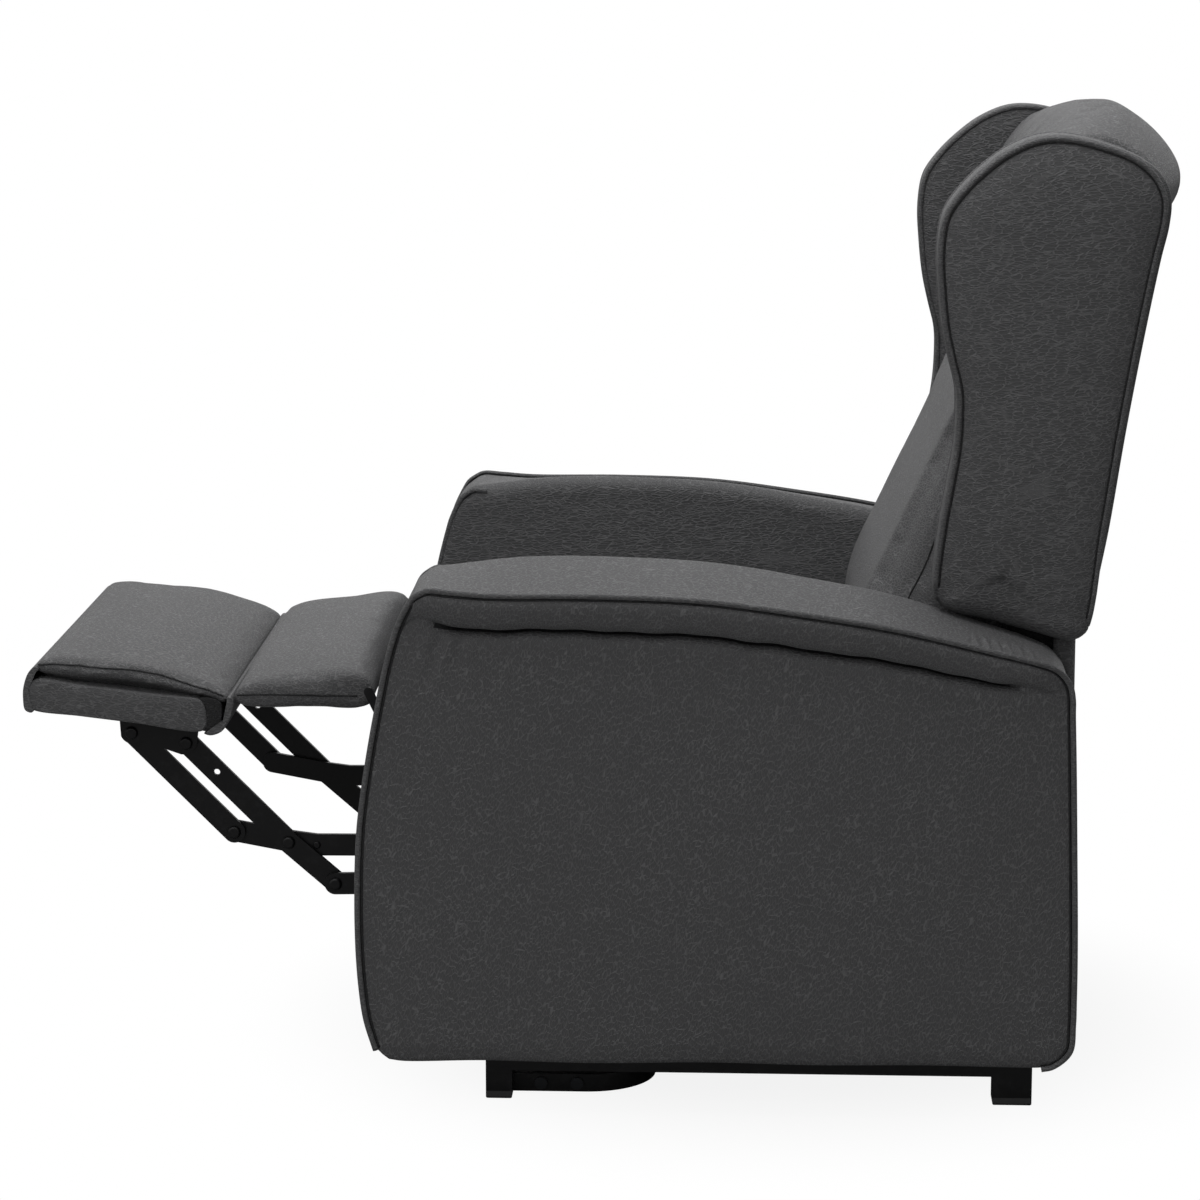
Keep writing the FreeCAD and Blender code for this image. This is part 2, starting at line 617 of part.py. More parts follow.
def make_base():
    x0, x1 = RAIL_X - RAIL_WIDTH / 2, RAIL_X + RAIL_WIDTH / 2
    z0, z1 = RAIL_BOTTOM, RAIL_BOTTOM + RAIL_HEIGHT
    rail = block(x0, x1, RAIL_FRONT, RAIL_REAR, z0, z1)
    rail = rail.cut(block(x0 + RAIL_WALL, x1 - RAIL_WALL, RAIL_FRONT - 1, RAIL_REAR + 1, z0 + RAIL_WALL,
                          z1 - RAIL_WALL))
    feet = [(RAIL_FRONT, FRONT_FOOT_LENGTH), (RAIL_REAR - REAR_FOOT_LENGTH, REAR_FOOT_LENGTH)]
    caps = []
    for y, length in feet:
        rail = rail.fuse(block(x0, x1, y, y + length, FOOT_CAP, z0))
        cap = block(x0, x1, y, y + length, 0, FOOT_CAP)
        caps.append(cap.makeFillet(FOOT_CAP_EDGE, [e for e in cap.Edges if e.BoundBox.ZMax < 0.01]))
    parts["base_rails"] = pair(rail.removeSplitter())
    parts["base_foot_caps"] = Part.Compound([s for cap in caps for s in (cap, mirrored(cap))])

    rear_y = RAIL_REAR - REAR_FOOT_LENGTH / 2
    clevis = make_clevis(LIFT_ACTUATOR, (rear_y, z1 - RAIL_WALL), 0)
    clevis = clevis.cut(block(-60, 60, rear_y - 40, rear_y + 40, 0, z1))
    parts["base_rear_tube"] = cross_tube(rear_y).fuse(clevis).removeSplitter()

    foot = (MID_TUBE_Y, z1)
    ear = bar([foot, LIFT_F0], BASE_EAR_WIDTH, BASE_EAR_X, PLATE_THICK)
    head = FRONT_LINK_X - HEAD_GAP
    ear = ear.fuse(rod_x(LIFT_F0, LIFT_PIN_R, head - 1, BASE_EAR_X))
    ear = ear.fuse(rod_x(LIFT_F0, LIFT_HEAD_R, head - BASE_EAR_GAP, head))
    bearing = bar([foot, LIFT_R0], 2 * LOBE_R, BEARING_X, LIFT_LINK_THICK)
    bearing = drilled(bearing, [LIFT_R0], LIFT_TUBE_R + PIVOT_CLEAR)
    stand = Part.Compound([ear, bearing]).cut(block(0, x0, RAIL_FRONT, RAIL_REAR, 0, z1))
    parts["base_mid_tube"] = cross_tube(MID_TUBE_Y).fuse([stand, mirrored(stand)]).removeSplitter()

    half = FRONT_BAR_SIZE / 2
    corner = V(FRONT_BAR_X - FRONT_BAR_R, FRONT_BAR_Y - FRONT_BAR_R, FRONT_BAR_Z)
    bend = Part.makeCylinder(FRONT_BAR_R + half, FRONT_BAR_SIZE, corner, Z_AXIS, 90)
    bend = bend.cut(Part.makeCylinder(FRONT_BAR_R - half, FRONT_BAR_SIZE, corner, Z_AXIS))
    z2 = FRONT_BAR_Z + FRONT_BAR_SIZE
    leg_front = RAIL_FRONT + FRONT_FOOT_LENGTH
    leg = block(FRONT_BAR_X - half, FRONT_BAR_X + half, leg_front, corner.y, FRONT_BAR_Z, z2)
    cross = block(-corner.x, corner.x, FRONT_BAR_Y - half, FRONT_BAR_Y + half, FRONT_BAR_Z, z2)
    front_bar = cross.fuse([bend, leg, mirrored(bend), mirrored(leg)]).removeSplitter()
    parts["base_front_bar"] = front_bar

    bolts = []
    for back in BASE_BOLTS_BACK:
        root = FRONT_BAR_X + half
        bolt = rod_x((RAIL_FRONT + back, FRONT_BAR_Z + half), BASE_BOLT_R, root, root + BASE_BOLT_HEAD)
        bolts += [bolt, mirrored(bolt)]
    parts["base_bolts"] = Part.Compound(bolts)


def make_lift_links():
    hole = LIFT_PIN_R + PIVOT_CLEAR
    front = bar([LIFT_F0, LIFT_F1], LIFT_LINK_WIDTH, FRONT_LINK_X, LIFT_LINK_THICK)
    front = drilled(front, [LIFT_F0], hole)
    front = drilled(front, [LIFT_F1], hole + LIFT_SLACK)
    parts["front_lift_links"] = pair(front)
    rear = bar([LIFT_R0, LIFT_R1], LIFT_LINK_WIDTH, REAR_LINK_X, LIFT_LINK_THICK)
    rear = drilled(rear, [LIFT_R0, LIFT_R1], hole)
    parts["rear_lift_links"] = pair(rear)

    parts["rear_lift_tube"] = hollow_tube(LIFT_R0, LIFT_TUBE_R, REAR_LINK_X, LIFT_ACTUATOR)


def hollow_tube(centre, radius, half, actuator):
    """Round tube across the chair with an actuator's crank on it."""
    tube = rod_x(centre, radius, -half, half).cut(rod_x(centre, radius - TUBE_WALL, -half - 1, half + 1))
    return tube.fuse(make_crank(actuator, radius)).removeSplitter()


def make_chassis():
    """Side plates that carry every pivot, with the cross tubes between them."""
    waist_y, waist_z = PLATE_WAIST
    low = PIVOT_F[1] - LOBE_SPREAD
    outline = [(PLATE_FRONT, PLATE_TOP), (PLATE_FRONT, PIVOT_E[1] - LOBE_SPREAD),
               (PIVOT_F[0] - LOBE_SPREAD, low), (PIVOT_F[0] + LOBE_SPREAD, low),
               (waist_y, waist_z), (LIFT_F1[0] - LOBE_SPREAD, waist_z),
               (LIFT_F1[0] - LOBE_R, LIFT_F1[1]),
               ((LIFT_F1[0], LIFT_F1[1] - LOBE_R), (LIFT_F1[0] + LOBE_R, LIFT_F1[1])),
               (LIFT_F1[0] + LOBE_SPREAD, PLATE_TAIL_Z), (LIFT_R1[0] - LOBE_SPREAD, PLATE_TAIL_Z),
               (LIFT_R1[0] - LOBE_R, LIFT_R1[1]),
               ((LIFT_R1[0], LIFT_R1[1] - LOBE_R), (LIFT_R1[0] + LOBE_R, LIFT_R1[1])),
               (PLATE_REAR, PLATE_HEEL_Z), (PLATE_REAR, PLATE_TOP)]
    plate = side_plate(outline, PLATE_X, PLATE_THICK)
    plate = drilled(plate, [PIVOT_E], TORQUE_STUB_R + PIVOT_CLEAR)
    flange = block(PLATE_X + PLATE_THICK, SEAT_HALF - FLANGE_INSET, FLANGE_FRONT, SEAT_FRAME_REAR,
                   PLATE_TOP - PLATE_THICK, PLATE_TOP)
    lower_x = LINK_X + 2 * LINK_PITCH_X
    front_x = FRONT_LINK_X + LIFT_LINK_THICK
    studs = [
        (PIVOT_F, RIVET_R, lower_x - HEAD_GAP, PLATE_X),
        (PIVOT_F, RIVET_HEAD_R, lower_x - RIVET_HEAD, lower_x - HEAD_GAP),
        (PIVOT_F, RIVET_HEAD_R, lower_x + LINK_THICK + HEAD_GAP, PLATE_X),
        (LIFT_F1, LIFT_PIN_R, PLATE_X, front_x + HEAD_GAP),
        (LIFT_F1, LIFT_HEAD_R, front_x + HEAD_GAP, BASE_EAR_X + PLATE_THICK),
        (LIFT_R1, LIFT_PIN_R, REAR_LINK_X - HEAD_GAP, PLATE_X),
        (LIFT_R1, LIFT_HEAD_R, REAR_LINK_X - PLATE_THICK, REAR_LINK_X - HEAD_GAP),
        (BACK_PIVOT, LIFT_PIN_R, BACK_BRACKET_X - PLATE_GAP, PLATE_X),
    ]
    plate = plate.fuse([flange] + [rod_x(*stud) for stud in studs])
    plate = plate.removeSplitter()
    parts["left_side_plate"] = plate
    parts["right_side_plate"] = mirrored(plate)

    for name, centre, actuator in (("chassis_front_tube", FRONT_TUBE, BACK_ACTUATOR),
                                   ("chassis_rear_tube", REAR_TUBE, FOOT_ACTUATOR)):
        tube = rod_x(centre, CROSS_TUBE_R, -PLATE_X, PLATE_X)
        tube = tube.cut(rod_x(centre, CROSS_TUBE_R - TUBE_WALL, -PLATE_X - 1, PLATE_X + 1))
        parts[name] = tube.fuse(make_clevis(actuator, centre, CROSS_TUBE_R)).removeSplitter()


def make_footrest_linkage():
    """Two parallelograms a side: the drive and lower links carry the upper links and the footrest."""
    hole = RIVET_R + PIVOT_CLEAR
    x1 = LINK_X + LINK_PITCH_X
    x2 = x1 + LINK_PITCH_X

    drive = bar([PIVOT_A, PIVOT_B, DRIVE_RIVET, DRIVE_KNEE, PIVOT_E], LINK_WIDTH, LINK_X, LINK_THICK)
    drive = drilled(drive, [PIVOT_E], TORQUE_STUB_R)
    for pivot in (PIVOT_A, PIVOT_B):
        drive = drive.fuse(rivet(pivot, RIVET_R, RIVET_HEAD_R, RIVET_HEAD, LINK_X, x1 + LINK_THICK + 0.3))
    small_r, small_head = SMALL_RIVET_SHARE * RIVET_HEAD_R, SMALL_RIVET_SHARE * RIVET_HEAD
    drive = drive.fuse(rivet(DRIVE_RIVET, RIVET_R, small_r, small_head, LINK_X, LINK_X + LINK_THICK))
    parts["left_drive_link"] = drive.removeSplitter()

    front = bar([PIVOT_A, PIVOT_P1], LINK_WIDTH, x1, LINK_THICK)
    front = drilled(front, [PIVOT_A], hole)
    front = front.fuse(rivet(PIVOT_P1, RIVET_R, RIVET_HEAD_R, RIVET_HEAD, x1, x2 + BRACKET_WALL + 0.3))
    parts["left_front_link"] = front.removeSplitter()

    rear = bar([PIVOT_P2, PIVOT_B, PIVOT_D], LINK_WIDTH, x1, LINK_THICK)
    rear = drilled(rear, [PIVOT_B], hole)
    rear = drilled(rear, [SPARE_HOLE], SPARE_HOLE_R)
    rear = rear.fuse(rivet(PIVOT_P2, RIVET_R, RIVET_HEAD_R, RIVET_HEAD, x1, x2 + BRACKET_WALL + 0.3))
    rear = rear.fuse(rivet(PIVOT_D, RIVET_R, RIVET_HEAD_R, RIVET_HEAD, x1, x2 + LINK_THICK + 0.3))
    parts["left_rear_link"] = rear.removeSplitter()

    lower = bar([PIVOT_D, LOWER_KNEE, PIVOT_F], LINK_WIDTH, x2, LINK_THICK)
    lower = drilled(lower, [PIVOT_F], hole)
    lower = drilled(lower, [PIVOT_D], hole + 0.15)
    parts["left_lower_link"] = lower
    for name in ("drive", "front", "rear", "lower"):
        parts["right_%s_link" % name] = mirrored(parts["left_%s_link" % name])

    tube = rod_x(PIVOT_E, TORQUE_TUBE_R, -LINK_X, LINK_X)
    stub = PLATE_X + PLATE_THICK + TORQUE_STUB_END
    tube = tube.fuse(rod_x(PIVOT_E, TORQUE_STUB_R, -stub, stub))
    parts["torque_tube"] = tube.fuse(make_crank(FOOT_ACTUATOR, TORQUE_TUBE_R)).removeSplitter()


def make_footrest():
    x2 = LINK_X + 2 * LINK_PITCH_X
    board_low = FOOT_BASE_THICK / 2 - FOOT_BOARD / 2
    tip_z, rear_z = slope_z(FOOT_TIP), slope_z(FOOT_REAR)
    box = [(FOOT_TIP, tip_z), (FOOT_REAR, rear_z), (FOOT_REAR, rear_z + FOOT_BASE_THICK),
           (FOOT_TIP + 6, tip_z + FOOT_BASE_THICK)]
    wall = FOOT_COVER_WALL
    board_top = board_low + FOOT_BOARD
    board = [(FOOT_TIP + wall, tip_z + board_low), (FOOT_REAR - wall, rear_z + board_low),
             (FOOT_REAR - wall, rear_z + board_top), (FOOT_TIP + wall, tip_z + board_top)]
    board_solid = side_plate(board, -FOOT_HALF + wall, 2 * (FOOT_HALF - wall))
    parts["footrest_board"] = board_solid
    base = side_plate(box, -FOOT_HALF, 2 * FOOT_HALF)
    long_edges = [e for e in base.Edges if max(e.BoundBox.XLength, e.BoundBox.YLength) > FOOT_HALF / 2]
    base = base.makeFillet(FOOT_EDGE_R, long_edges)
    parts["footrest_base_cover"] = base.cut(board_solid)

    ends = (FOOT_TIP + FOOT_TIP_BACK, FOOT_REAR - FOOT_REAR_BACK)
    low_tip, low_rear = ((y, slope_z(y) + FOOT_BASE_THICK) for y in ends)
    outline = [low_tip, low_rear, (FOOT_REAR_BULGE, FOOT_SEAM_REAR), (FOOT_SEAM_MIDDLE, FOOT_SEAM_TIP),
               (FOOT_TIP_BULGE, low_tip)]
    cushion = pillow(outline, FOOT_CUSHION_CENTRE, FOOT_HALF, (2.0, FOOT_CROWN), 4.0)
    parts["footrest_cushion"] = cushion.cut(parts["footrest_base_cover"]).cut(board_solid)

    low = min(PIVOT_P1[1], PIVOT_P2[1])
    front, rear = PIVOT_P1[0] - BRACKET_FRONT, PIVOT_P2[0] + BRACKET_REAR
    outline = [(PIVOT_P1[0] - 12, PIVOT_P1[1] - 4),
               ((PIVOT_P1[0], PIVOT_P1[1] - BRACKET_DROP), (PIVOT_P1[0] + 12, low + 2)),
               (PIVOT_P2[0] - 6, low - BRACKET_DROP), ((PIVOT_P2[0] + 8, low - 8), (PIVOT_P2[0] + 13, low + 6)),
               (rear, slope_z(rear)), (front, slope_z(front))]
    plate = side_plate(outline, x2, BRACKET_WALL)
    flange = [(front, slope_z(front)), (rear, slope_z(rear)), (rear, slope_z(rear) - BRACKET_WALL),
              (front, slope_z(front) - BRACKET_WALL)]
    plate = plate.fuse(side_plate(flange, x2, BRACKET_FLANGE))
    plate = drilled(plate, [PIVOT_P1], RIVET_R + PIVOT_CLEAR + 0.1)
    plate = drilled(plate, [PIVOT_P2], RIVET_R + PIVOT_CLEAR)
    parts["footrest_brackets"] = pair(plate.removeSplitter())

    make_calf_pad()


def make_calf_pad():
    """Small pad hinged to the front of the seat frame beside its own ends."""
    rear, z = CALF_HINGE[0] - CALF_LEAF_WIDTH / 2 + 0.5, CALF_SEAM_Z - CALF_SEAM_DROP
    half = FOOT_HALF - FOOT_COVER_WALL
    board = block(-half, half, CALF_TIP + 6, rear, z - CALF_BOARD, z)
    leaf_points = [(rear - CALF_LEAF_WIDTH + 1, z - CALF_LEAF_WIDTH / 2), CALF_HINGE]
    leaf = bar(leaf_points, CALF_LEAF_WIDTH, half - CALF_LEAF, CALF_LEAF)
    board = board.fuse([leaf, mirrored(leaf)])
    parts["calf_board"] = drilled(board, [CALF_HINGE], CALF_PIN_R + PIVOT_CLEAR).removeSplitter()

    middle = (CALF_TIP + rear) / 2
    outline = [(CALF_TIP + 6, z), (rear, z), ((rear + 4.5, z + 8), (rear + 2, z + 15)),
               ((middle, z + 13), (CALF_TIP + 4, z + 6))]
    cushion = pillow(outline, (middle, z), FOOT_HALF, (1.0, CALF_CROWN), 1.0)
    cushion = cushion.cut(block(-FOOT_HALF - 1, FOOT_HALF + 1, CALF_TIP - 50, rear + 50, z - 50, z))
    reach = CALF_LEAF + 2 * SOFT_CLEAR
    pocket = bar(leaf_points, CALF_LEAF_WIDTH + 2 * SOFT_CLEAR, half - CALF_LEAF - SOFT_CLEAR, reach)
    pocket = pocket.fuse(rod_x(CALF_HINGE, CALF_PIN_R + SOFT_CLEAR, half - CALF_LEAF - 2, CALF_EAR_X))
    parts["calf_cushion"] = cushion.cut([pocket, mirrored(pocket)])

    ear = bar([CALF_EAR_FOOT, CALF_HINGE], CALF_LEAF_WIDTH - 1, CALF_EAR_X, CALF_LEAF)
    root_z, root_y = CALF_EAR_FOOT[1], SEAT_FRAME_FRONT
    ear = ear.fuse(block(CALF_EAR_X, CALF_EAR_X + CALF_EAR_ROOT, root_y - CALF_EAR_PLATE, root_y,
                         root_z - CALF_EAR_REACH, root_z + CALF_EAR_REACH))
    ear = ear.fuse(rod_x(CALF_HINGE, CALF_PIN_R, half - CALF_LEAF - 1, CALF_EAR_X))
    parts["calf_hinges"] = pair(ear.removeSplitter())


def make_wings():
    """Rounded pads that stand outside the back cushions on both sides."""
    wires = []
    for share, factor in ((0, 0.955), (0.08, 0.985), (0.3, 1.0), (0.8, 1.0), (0.95, 0.985), (1, 0.962)):
        x = WING_INNER + share * WING_THICK
        wires.append(trace(scaled(list(WING_OUTLINE), (factor, factor), WING_CENTRE), at_x(x)))
    wing = Part.makeLoft(wires, True, False)
    parts["left_wing"] = wing
    parts["right_wing"] = mirrored(wing)


def post_point(share, off=0.0):
    """Point at a share of the way up the back posts, off their middle line along y."""
    return tuple(foot + (head - foot) * share for foot, head in zip((POST_FOOT[0] + off, POST_FOOT[1]),
                                                                    (POST_HEAD[0] + off, POST_HEAD[1])))


def post_at(z, off):
    """Point of the posts' middle line at a height, moved along y."""
    return (post_point((z - POST_FOOT[1]) / (POST_HEAD[1] - POST_FOOT[1]), off)[0], z)


def make_back_frame(half):
    """Two posts and three rails, with elastic straps across the front of the posts."""
    depth = POST_DEPTH / 2
    post = [post_point(0, -depth), post_point(0, depth), post_point(1, depth), post_point(1, -depth)]
    frame = side_plate(post, half - POST_WIDTH, POST_WIDTH)
    frame = frame.fuse(mirrored(frame))
    clear, rail_half, rail_rise = half - POST_WIDTH, BACK_RAIL_DEPTH / 2, BACK_RAIL_HEIGHT / 2
    for share in BACK_RAIL_SHARES:
        y, z = post_point(share, depth - rail_half - BACK_RAIL_INSET)
        rail = block(-clear, clear, y - rail_half, y + rail_half, z - rail_rise, z + rail_rise)
        frame = frame.fuse(rail)
    batten = [post_at(SKIRT_TOP - BACK_BATTEN, depth), post_at(SKIRT_TOP, depth), (SKIRT_Y, SKIRT_TOP),
              (SKIRT_Y, SKIRT_TOP - BACK_BATTEN)]
    frame = frame.fuse(side_plate(batten, -half, 2 * half))
    parts["back_frame"] = frame.removeSplitter()

    lean = math.degrees(math.atan2(POST_HEAD[0] - POST_FOOT[0], POST_HEAD[1] - POST_FOOT[1]))
    straps = []
    for share in BACK_STRAP_SHARES:
        y, z = post_point(share, -depth)
        strap = block(-half + 2, half - 2, -WEB_THICK, 0, -WEB_WIDTH / 2, WEB_WIDTH / 2)
        strap.rotate(ORIGIN, X_AXIS, -lean)
        strap.translate(V(0, y, z))
        straps.append(strap)
    parts["back_webbing"] = Part.Compound(straps)


def make_back_cushions(half):
    front = -POST_DEPTH / 2 - WEB_THICK - 2 - BACK_CROWN[0]
    low_rear = post_point(0.03, front - 8)
    high_rear = post_point(0.7, front)
    outline = [low_rear, high_rear, *BACK_CUSHION_FACE]
    parts["back_cushion"] = pillow(outline, BACK_CUSHION_CENTRE, half, BACK_CROWN, 6.0)

    low_z = high_rear[1] + HEADREST_GAP
    middle = [(HEADREST_REAR, low_z), *HEADREST_FACE]
    reach = (HEADREST_REAR - HEADREST_CENTRE[0], HEADREST_TOP - HEADREST_CENTRE[1])
    ends = scaled(middle, [1 - dome / r for dome, r in zip(HEADREST_DOME, reach)], HEADREST_CENTRE)
    roll = pillow(ends, HEADREST_CENTRE, half, HEADREST_DOME, HEADREST_END_R)
    head_front = post_point(1, front)
    head_rear = post_point(1, POST_DEPTH / 2 + 6)
    top = head_rear[1] + HEADREST_STEP
    beyond = 2 * HEADREST_REAR
    notch = [(high_rear[0], low_z), (head_front[0], top), (head_rear[0], top),
             (head_rear[0] + 3, HEADREST_HEEL_Z), (beyond, HEADREST_HEEL_Z), (beyond, 0), (high_rear[0], 0)]
    roll = roll.cut(side_plate(notch, -half - 1, 2 * half + 2))
    parts["headrest_cushion"] = roll.cut(block(-half - 1, half + 1, 0, beyond, 0, low_z))


def make_back_covers(half):
    """Sheet over the rear of the posts, and the skirt on the batten below it that laps over the rear panel."""
    inner, outer = POST_DEPTH / 2, POST_DEPTH / 2 + REAR_COVER_THICK
    outline = [post_at(REAR_COVER_LOW, inner), post_at(REAR_COVER_LOW, outer), post_at(REAR_COVER_HIGH, outer),
               post_at(REAR_COVER_HIGH, inner)]
    parts["back_rear_cover"] = side_plate(outline, -half, 2 * half)

    skirt = block(-SKIRT_HALF, SKIRT_HALF, SKIRT_Y, SKIRT_Y + SKIRT_THICK, SKIRT_LOW, SKIRT_TOP)
    side = block(SKIRT_HALF - SKIRT_THICK, SKIRT_HALF, SKIRT_Y - SKIRT_RETURN, SKIRT_Y, SKIRT_RETURN_LOW,
                 SKIRT_TOP)
    parts["rear_skirt"] = skirt.fuse([side, mirrored(side)]).removeSplitter()


def make_back_drive(half):
    """Brackets that carry the back frame on its pivots, and the tube its actuator turns."""
    x0 = BACK_BRACKET_X
    foot = post_point(BRACKET_TOP_SHARE, BACK_BRACKET_GAP)
    front, rear, low = BRACKET_STEP
    bracket = bar([BACK_PIVOT, BRACKET_KNEE, foot], BRACKET_WIDTH, x0 - BACK_BRACKET_THICK, BACK_BRACKET_THICK)
    bracket = drilled(bracket, [BACK_PIVOT], LIFT_PIN_R + PIVOT_CLEAR)
    step = block(x0 - BACK_BRACKET_THICK, half - POST_WIDTH, foot[0] + front, foot[0] + rear, foot[1] + low,
                 foot[1])
    parts["back_brackets"] = pair(bracket.fuse(step).removeSplitter())
    parts["back_torque_tube"] = hollow_tube(BACK_PIVOT, BACK_TUBE_R, x0 - BACK_BRACKET_THICK, BACK_ACTUATOR)


def make_back():
    half = WING_INNER - SOFT_CLEAR
    make_back_frame(half)
    make_back_cushions(half)
    make_back_covers(half)
    make_back_drive(half)


def make_rear_panel():
    """Board that closes the rear of the chair between the arms, below the skirt, on its cross rail."""
    front = PANEL_REAR - PANEL_BOARD
    board = block(-SEAT_HALF, SEAT_HALF, front, PANEL_REAR, ARM_BOTTOM + PANEL_RAISE, PANEL_TOP)
    rail = block(-SEAT_HALF, SEAT_HALF, front - PANEL_RAIL_DEPTH, front, *PANEL_RAIL_Z)
    parts["rear_panel"] = board.fuse(rail).removeSplitter()


def make_controls():
    """Switch panel set in the right arm with three rockers, and the power box under the seat."""
    skin = -ARM_OUTER
    y0, y1 = PANEL_Y - PANEL_LENGTH / 2, PANEL_Y + PANEL_LENGTH / 2
    z0, z1 = PANEL_Z - PANEL_HEIGHT / 2, PANEL_Z + PANEL_HEIGHT / 2
    plate = block(skin - PANEL_THICK, skin, y0, y1, z0, z1)
    plate = plate.makeFillet(PANEL_CORNER, [e for e in plate.Edges if e.BoundBox.XLength > PANEL_THICK - 0.1])
    inside = (y0 + PANEL_LIP, y1 - PANEL_LIP, z0 + PANEL_LIP, z1 - PANEL_LIP)
    panel = plate.fuse(block(skin, skin + ARM_COVER_WALL, *inside))
    slot_half, slot_high = ROCKER_LENGTH / 2 + ROCKER_GAP, ROCKER_HEIGHT / 2 + ROCKER_GAP
    crest = skin - PANEL_THICK
    end, hump, dip = (crest - curve for curve in ROCKER_CURVE)
    root, root_half = crest + ROCKER_ROOT[0], ROCKER_ROOT[1]
    for i, name in ((-1, "lift_rocker"), (0, "legs_rocker"), (1, "back_rocker")):
        y = PANEL_Y + i * ROCKER_PITCH
        panel = panel.cut(block(crest - 1, skin + ARM_COVER_WALL - ROCKER_FLOOR, y - slot_half, y + slot_half,
                                PANEL_Z - slot_high, PANEL_Z + slot_high))
        foot = V(skin - 0.5, y, PANEL_Z - slot_high)
        panel = panel.fuse(Part.makeCylinder(ROCKER_AXLE_R, 2 * slot_high, foot, Z_AXIS))
        half, quarter = ROCKER_LENGTH / 2, ROCKER_LENGTH / 4
        outline = [(root, y - root_half), (end, y - half), ((hump, y - quarter), (dip, y)),
                   ((hump, y + quarter), (end, y + half)), (root, y + root_half)]
        shape = Part.Face(trace(outline, at_z(PANEL_Z - ROCKER_HEIGHT / 2))).extrude(V(0, 0, ROCKER_HEIGHT))
        parts[name] = shape.cut(Part.makeCylinder(ROCKER_AXLE_R + PIVOT_CLEAR, 2 * slot_high, foot, Z_AXIS))
    parts["switch_panel"] = panel.removeSplitter()
    parts["right_arm_cover"] = parts["right_arm_cover"].cut(block(skin - 1, skin + ARM_COVER_WALL, *inside))

    box_inner = -PLATE_X + POWER_BOX_WIDTH
    box = block(-PLATE_X, box_inner, *POWER_BOX_Y, *POWER_BOX_Z)
    rounded = [e for e in box.Edges if e.BoundBox.YLength < 1 and e.BoundBox.XMax > box_inner - 1]
    parts["power_box"] = box.makeFillet(POWER_BOX_EDGE, rounded)


make_arms()
make_seat()
make_base()
make_lift_links()
make_chassis()
make_footrest_linkage()
make_footrest()
make_wings()
make_back()
make_rear_panel()
make_controls()
make_actuator("lift", LIFT_ACTUATOR)
make_actuator("footrest", FOOT_ACTUATOR)
make_actuator("back", BACK_ACTUATOR)

box = Part.Compound(list(parts.values())).optimalBoundingBox()
shift = V(-(box.XMin + box.XMax) / 2, -(box.YMin + box.YMax) / 2, -box.ZMin)
size = (box.XLength, box.YLength, box.ZLength)
print("shift", [round(c, 4) for c in shift], "size", [round(c, 2) for c in size])
os.makedirs("parts", exist_ok=True)
for name, shape in parts.items():
    shape.translate(shift)
    shape.exportStep("parts/%s.step" % name)
print(len(parts), "nodes")
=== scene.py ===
"""Power lift recliner: its upholstery, finishes, floor and lights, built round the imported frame.

Sizes in the functions are millimetres in the chair's own drawing: x across, the sitter faces -y, z up.
"""
import json
import math

import bpy
import numpy as np
from mathutils import Matrix, Vector
from mathutils.bvhtree import BVHTree


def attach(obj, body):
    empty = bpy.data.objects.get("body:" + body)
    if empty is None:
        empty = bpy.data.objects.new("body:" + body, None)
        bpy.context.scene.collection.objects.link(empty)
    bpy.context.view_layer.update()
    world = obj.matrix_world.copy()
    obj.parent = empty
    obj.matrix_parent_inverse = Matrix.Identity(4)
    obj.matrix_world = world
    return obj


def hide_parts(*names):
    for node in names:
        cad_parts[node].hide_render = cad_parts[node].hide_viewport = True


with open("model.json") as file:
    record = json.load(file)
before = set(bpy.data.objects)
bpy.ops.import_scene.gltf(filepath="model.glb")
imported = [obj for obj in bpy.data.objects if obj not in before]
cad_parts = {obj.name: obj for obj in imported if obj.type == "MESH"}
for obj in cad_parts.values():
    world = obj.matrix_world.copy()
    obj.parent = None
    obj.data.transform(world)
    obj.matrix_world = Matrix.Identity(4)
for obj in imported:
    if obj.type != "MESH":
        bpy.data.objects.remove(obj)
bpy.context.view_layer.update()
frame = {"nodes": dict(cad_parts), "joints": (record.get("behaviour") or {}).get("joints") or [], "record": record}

bl_info = {
    "name": "Power lift recliner",
    "version": (1, 0, 0),
    "blender": (4, 5, 0),
    "location": "View3D > Sidebar > Recliner",
    "description": "Dresses the recliner's frame with leatherette upholstery, piping and finishes",
    "category": "Object",
}

BACK_PIVOT_Y = 225.0
PIVOT = next(j for j in frame["joints"] if j["name"] == "back_recline")
SHIFT_Y = PIVOT["pos_m"][1] * 1000 - BACK_PIVOT_Y


def metres(points):
    """Points of the chair's drawing, in millimetres, as metres in the frame."""
    return (np.asarray(points, float) + (0, SHIFT_Y, 0)) / 1000


# the sitter's two sides, and the sign of x there
SIDES = (("left", 1), ("right", -1))


# ---------------------------------------------------------------- curves

# points that smooth() makes between two given ones, and that picked() makes along a whole line
SPAN_STEPS = 24
LINE_STEPS = 900


